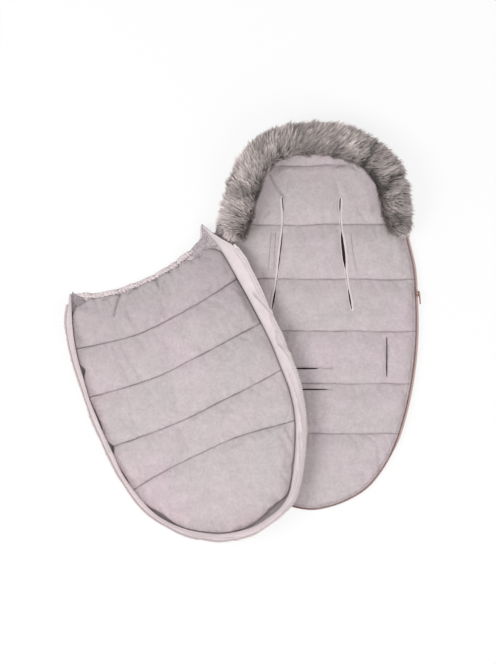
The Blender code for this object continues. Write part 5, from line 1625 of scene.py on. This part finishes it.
def studio():
    """A white floor and sky, a dark sheet of painted shade under the pad, two softboxes, and the camera straight
    above.
    """
    scene = bpy.context.scene
    scene.view_settings.view_transform = "Standard"
    floor = Finish("floor")
    seen = floor.node("ShaderNodeLightPath", out="Is Camera Ray")
    glossy = floor.node("ShaderNodeLightPath", out="Is Glossy Ray")
    through_glass = floor.node("ShaderNodeLightPath", out="Is Transmission Ray")
    paper = floor.node("ShaderNodeBsdfDiffuse", {}, {"Color": (0.96, 0.96, 0.96, 1.0)})
    glow = floor.node("ShaderNodeEmission", {}, {"Color": (1.0, 1.0, 1.0, 1.0), "Strength": 1.0})
    share = (seen + glossy + through_glass) * 0.82
    mixed = floor.node("ShaderNodeMixShader", {}, {0: share, 1: paper, 2: glow})
    floor.node("ShaderNodeOutputMaterial", {}, {"Surface": mixed})
    # Painted shade: a dark sheet under the pad that shows through the slits
    under = Finish("floor_under_pad")
    dim = under.node("ShaderNodeBsdfDiffuse", {}, {"Color": (0.13, 0.095, 0.09, 1.0)})
    under.node("ShaderNodeOutputMaterial", {}, {"Surface": dim})
    corners = [(x, y, -0.0004) for x, y in ((-6, -6), (6, -6), (6, 6), (-6, 6))]
    ground = cloth_mesh("floor", corners, [[0, 1, 2, 3]], [floor.material])
    shade = cloth_mesh("floor_under_pad", [(x, y, -0.0002) for x, y in SHADE_UNDER_PAD], [range(8)], [under.material])
    world = bpy.data.worlds.new("studio")
    world.use_nodes = True
    scene.world = world
    sky = Tree(world.node_tree)
    light = sky.node("ShaderNodeBackground", {}, {"Color": (1.0, 1.0, 1.0, 1.0), "Strength": 0.55})
    white = sky.node("ShaderNodeBackground", {}, {"Color": (1.0, 1.0, 1.0, 1.0), "Strength": 1.0})
    rays = sky.node("ShaderNodeLightPath", out="Is Camera Ray")
    both = sky.node("ShaderNodeMixShader", {}, {0: rays, 1: light, 2: white})
    sky.node("ShaderNodeOutputWorld", {}, {"Surface": both})
    for place, size, power in SOFTBOXES:
        data = bpy.data.lights.new("softbox", "AREA")
        data.size, data.energy = size, power
        lamp = bpy.data.objects.new("softbox", data)
        scene.collection.objects.link(lamp)
        aim = Vector((-0.10, 0.0, 0.0)) - Vector(place)
        lamp.matrix_world = Matrix.Translation(place) @ aim.to_track_quat("-Z", "Y").to_matrix().to_4x4()
    lens = bpy.data.cameras.new("camera")
    lens.sensor_fit, lens.sensor_width = "HORIZONTAL", SENSOR
    lens.lens = SENSOR * CAMERA_HEIGHT / (PICTURE_WIDTH * PIXEL)
    lens.clip_end = 50.0
    camera = bpy.data.objects.new("camera", lens)
    across, down = PICTURE_MIDDLE
    camera.location = ((across - ORIGIN[0]) * PIXEL, (ORIGIN[1] - down) * PIXEL, CAMERA_HEIGHT)
    scene.collection.objects.link(camera)
    scene.camera = camera


studio()
dress_frame()
back()
fur()
cover()
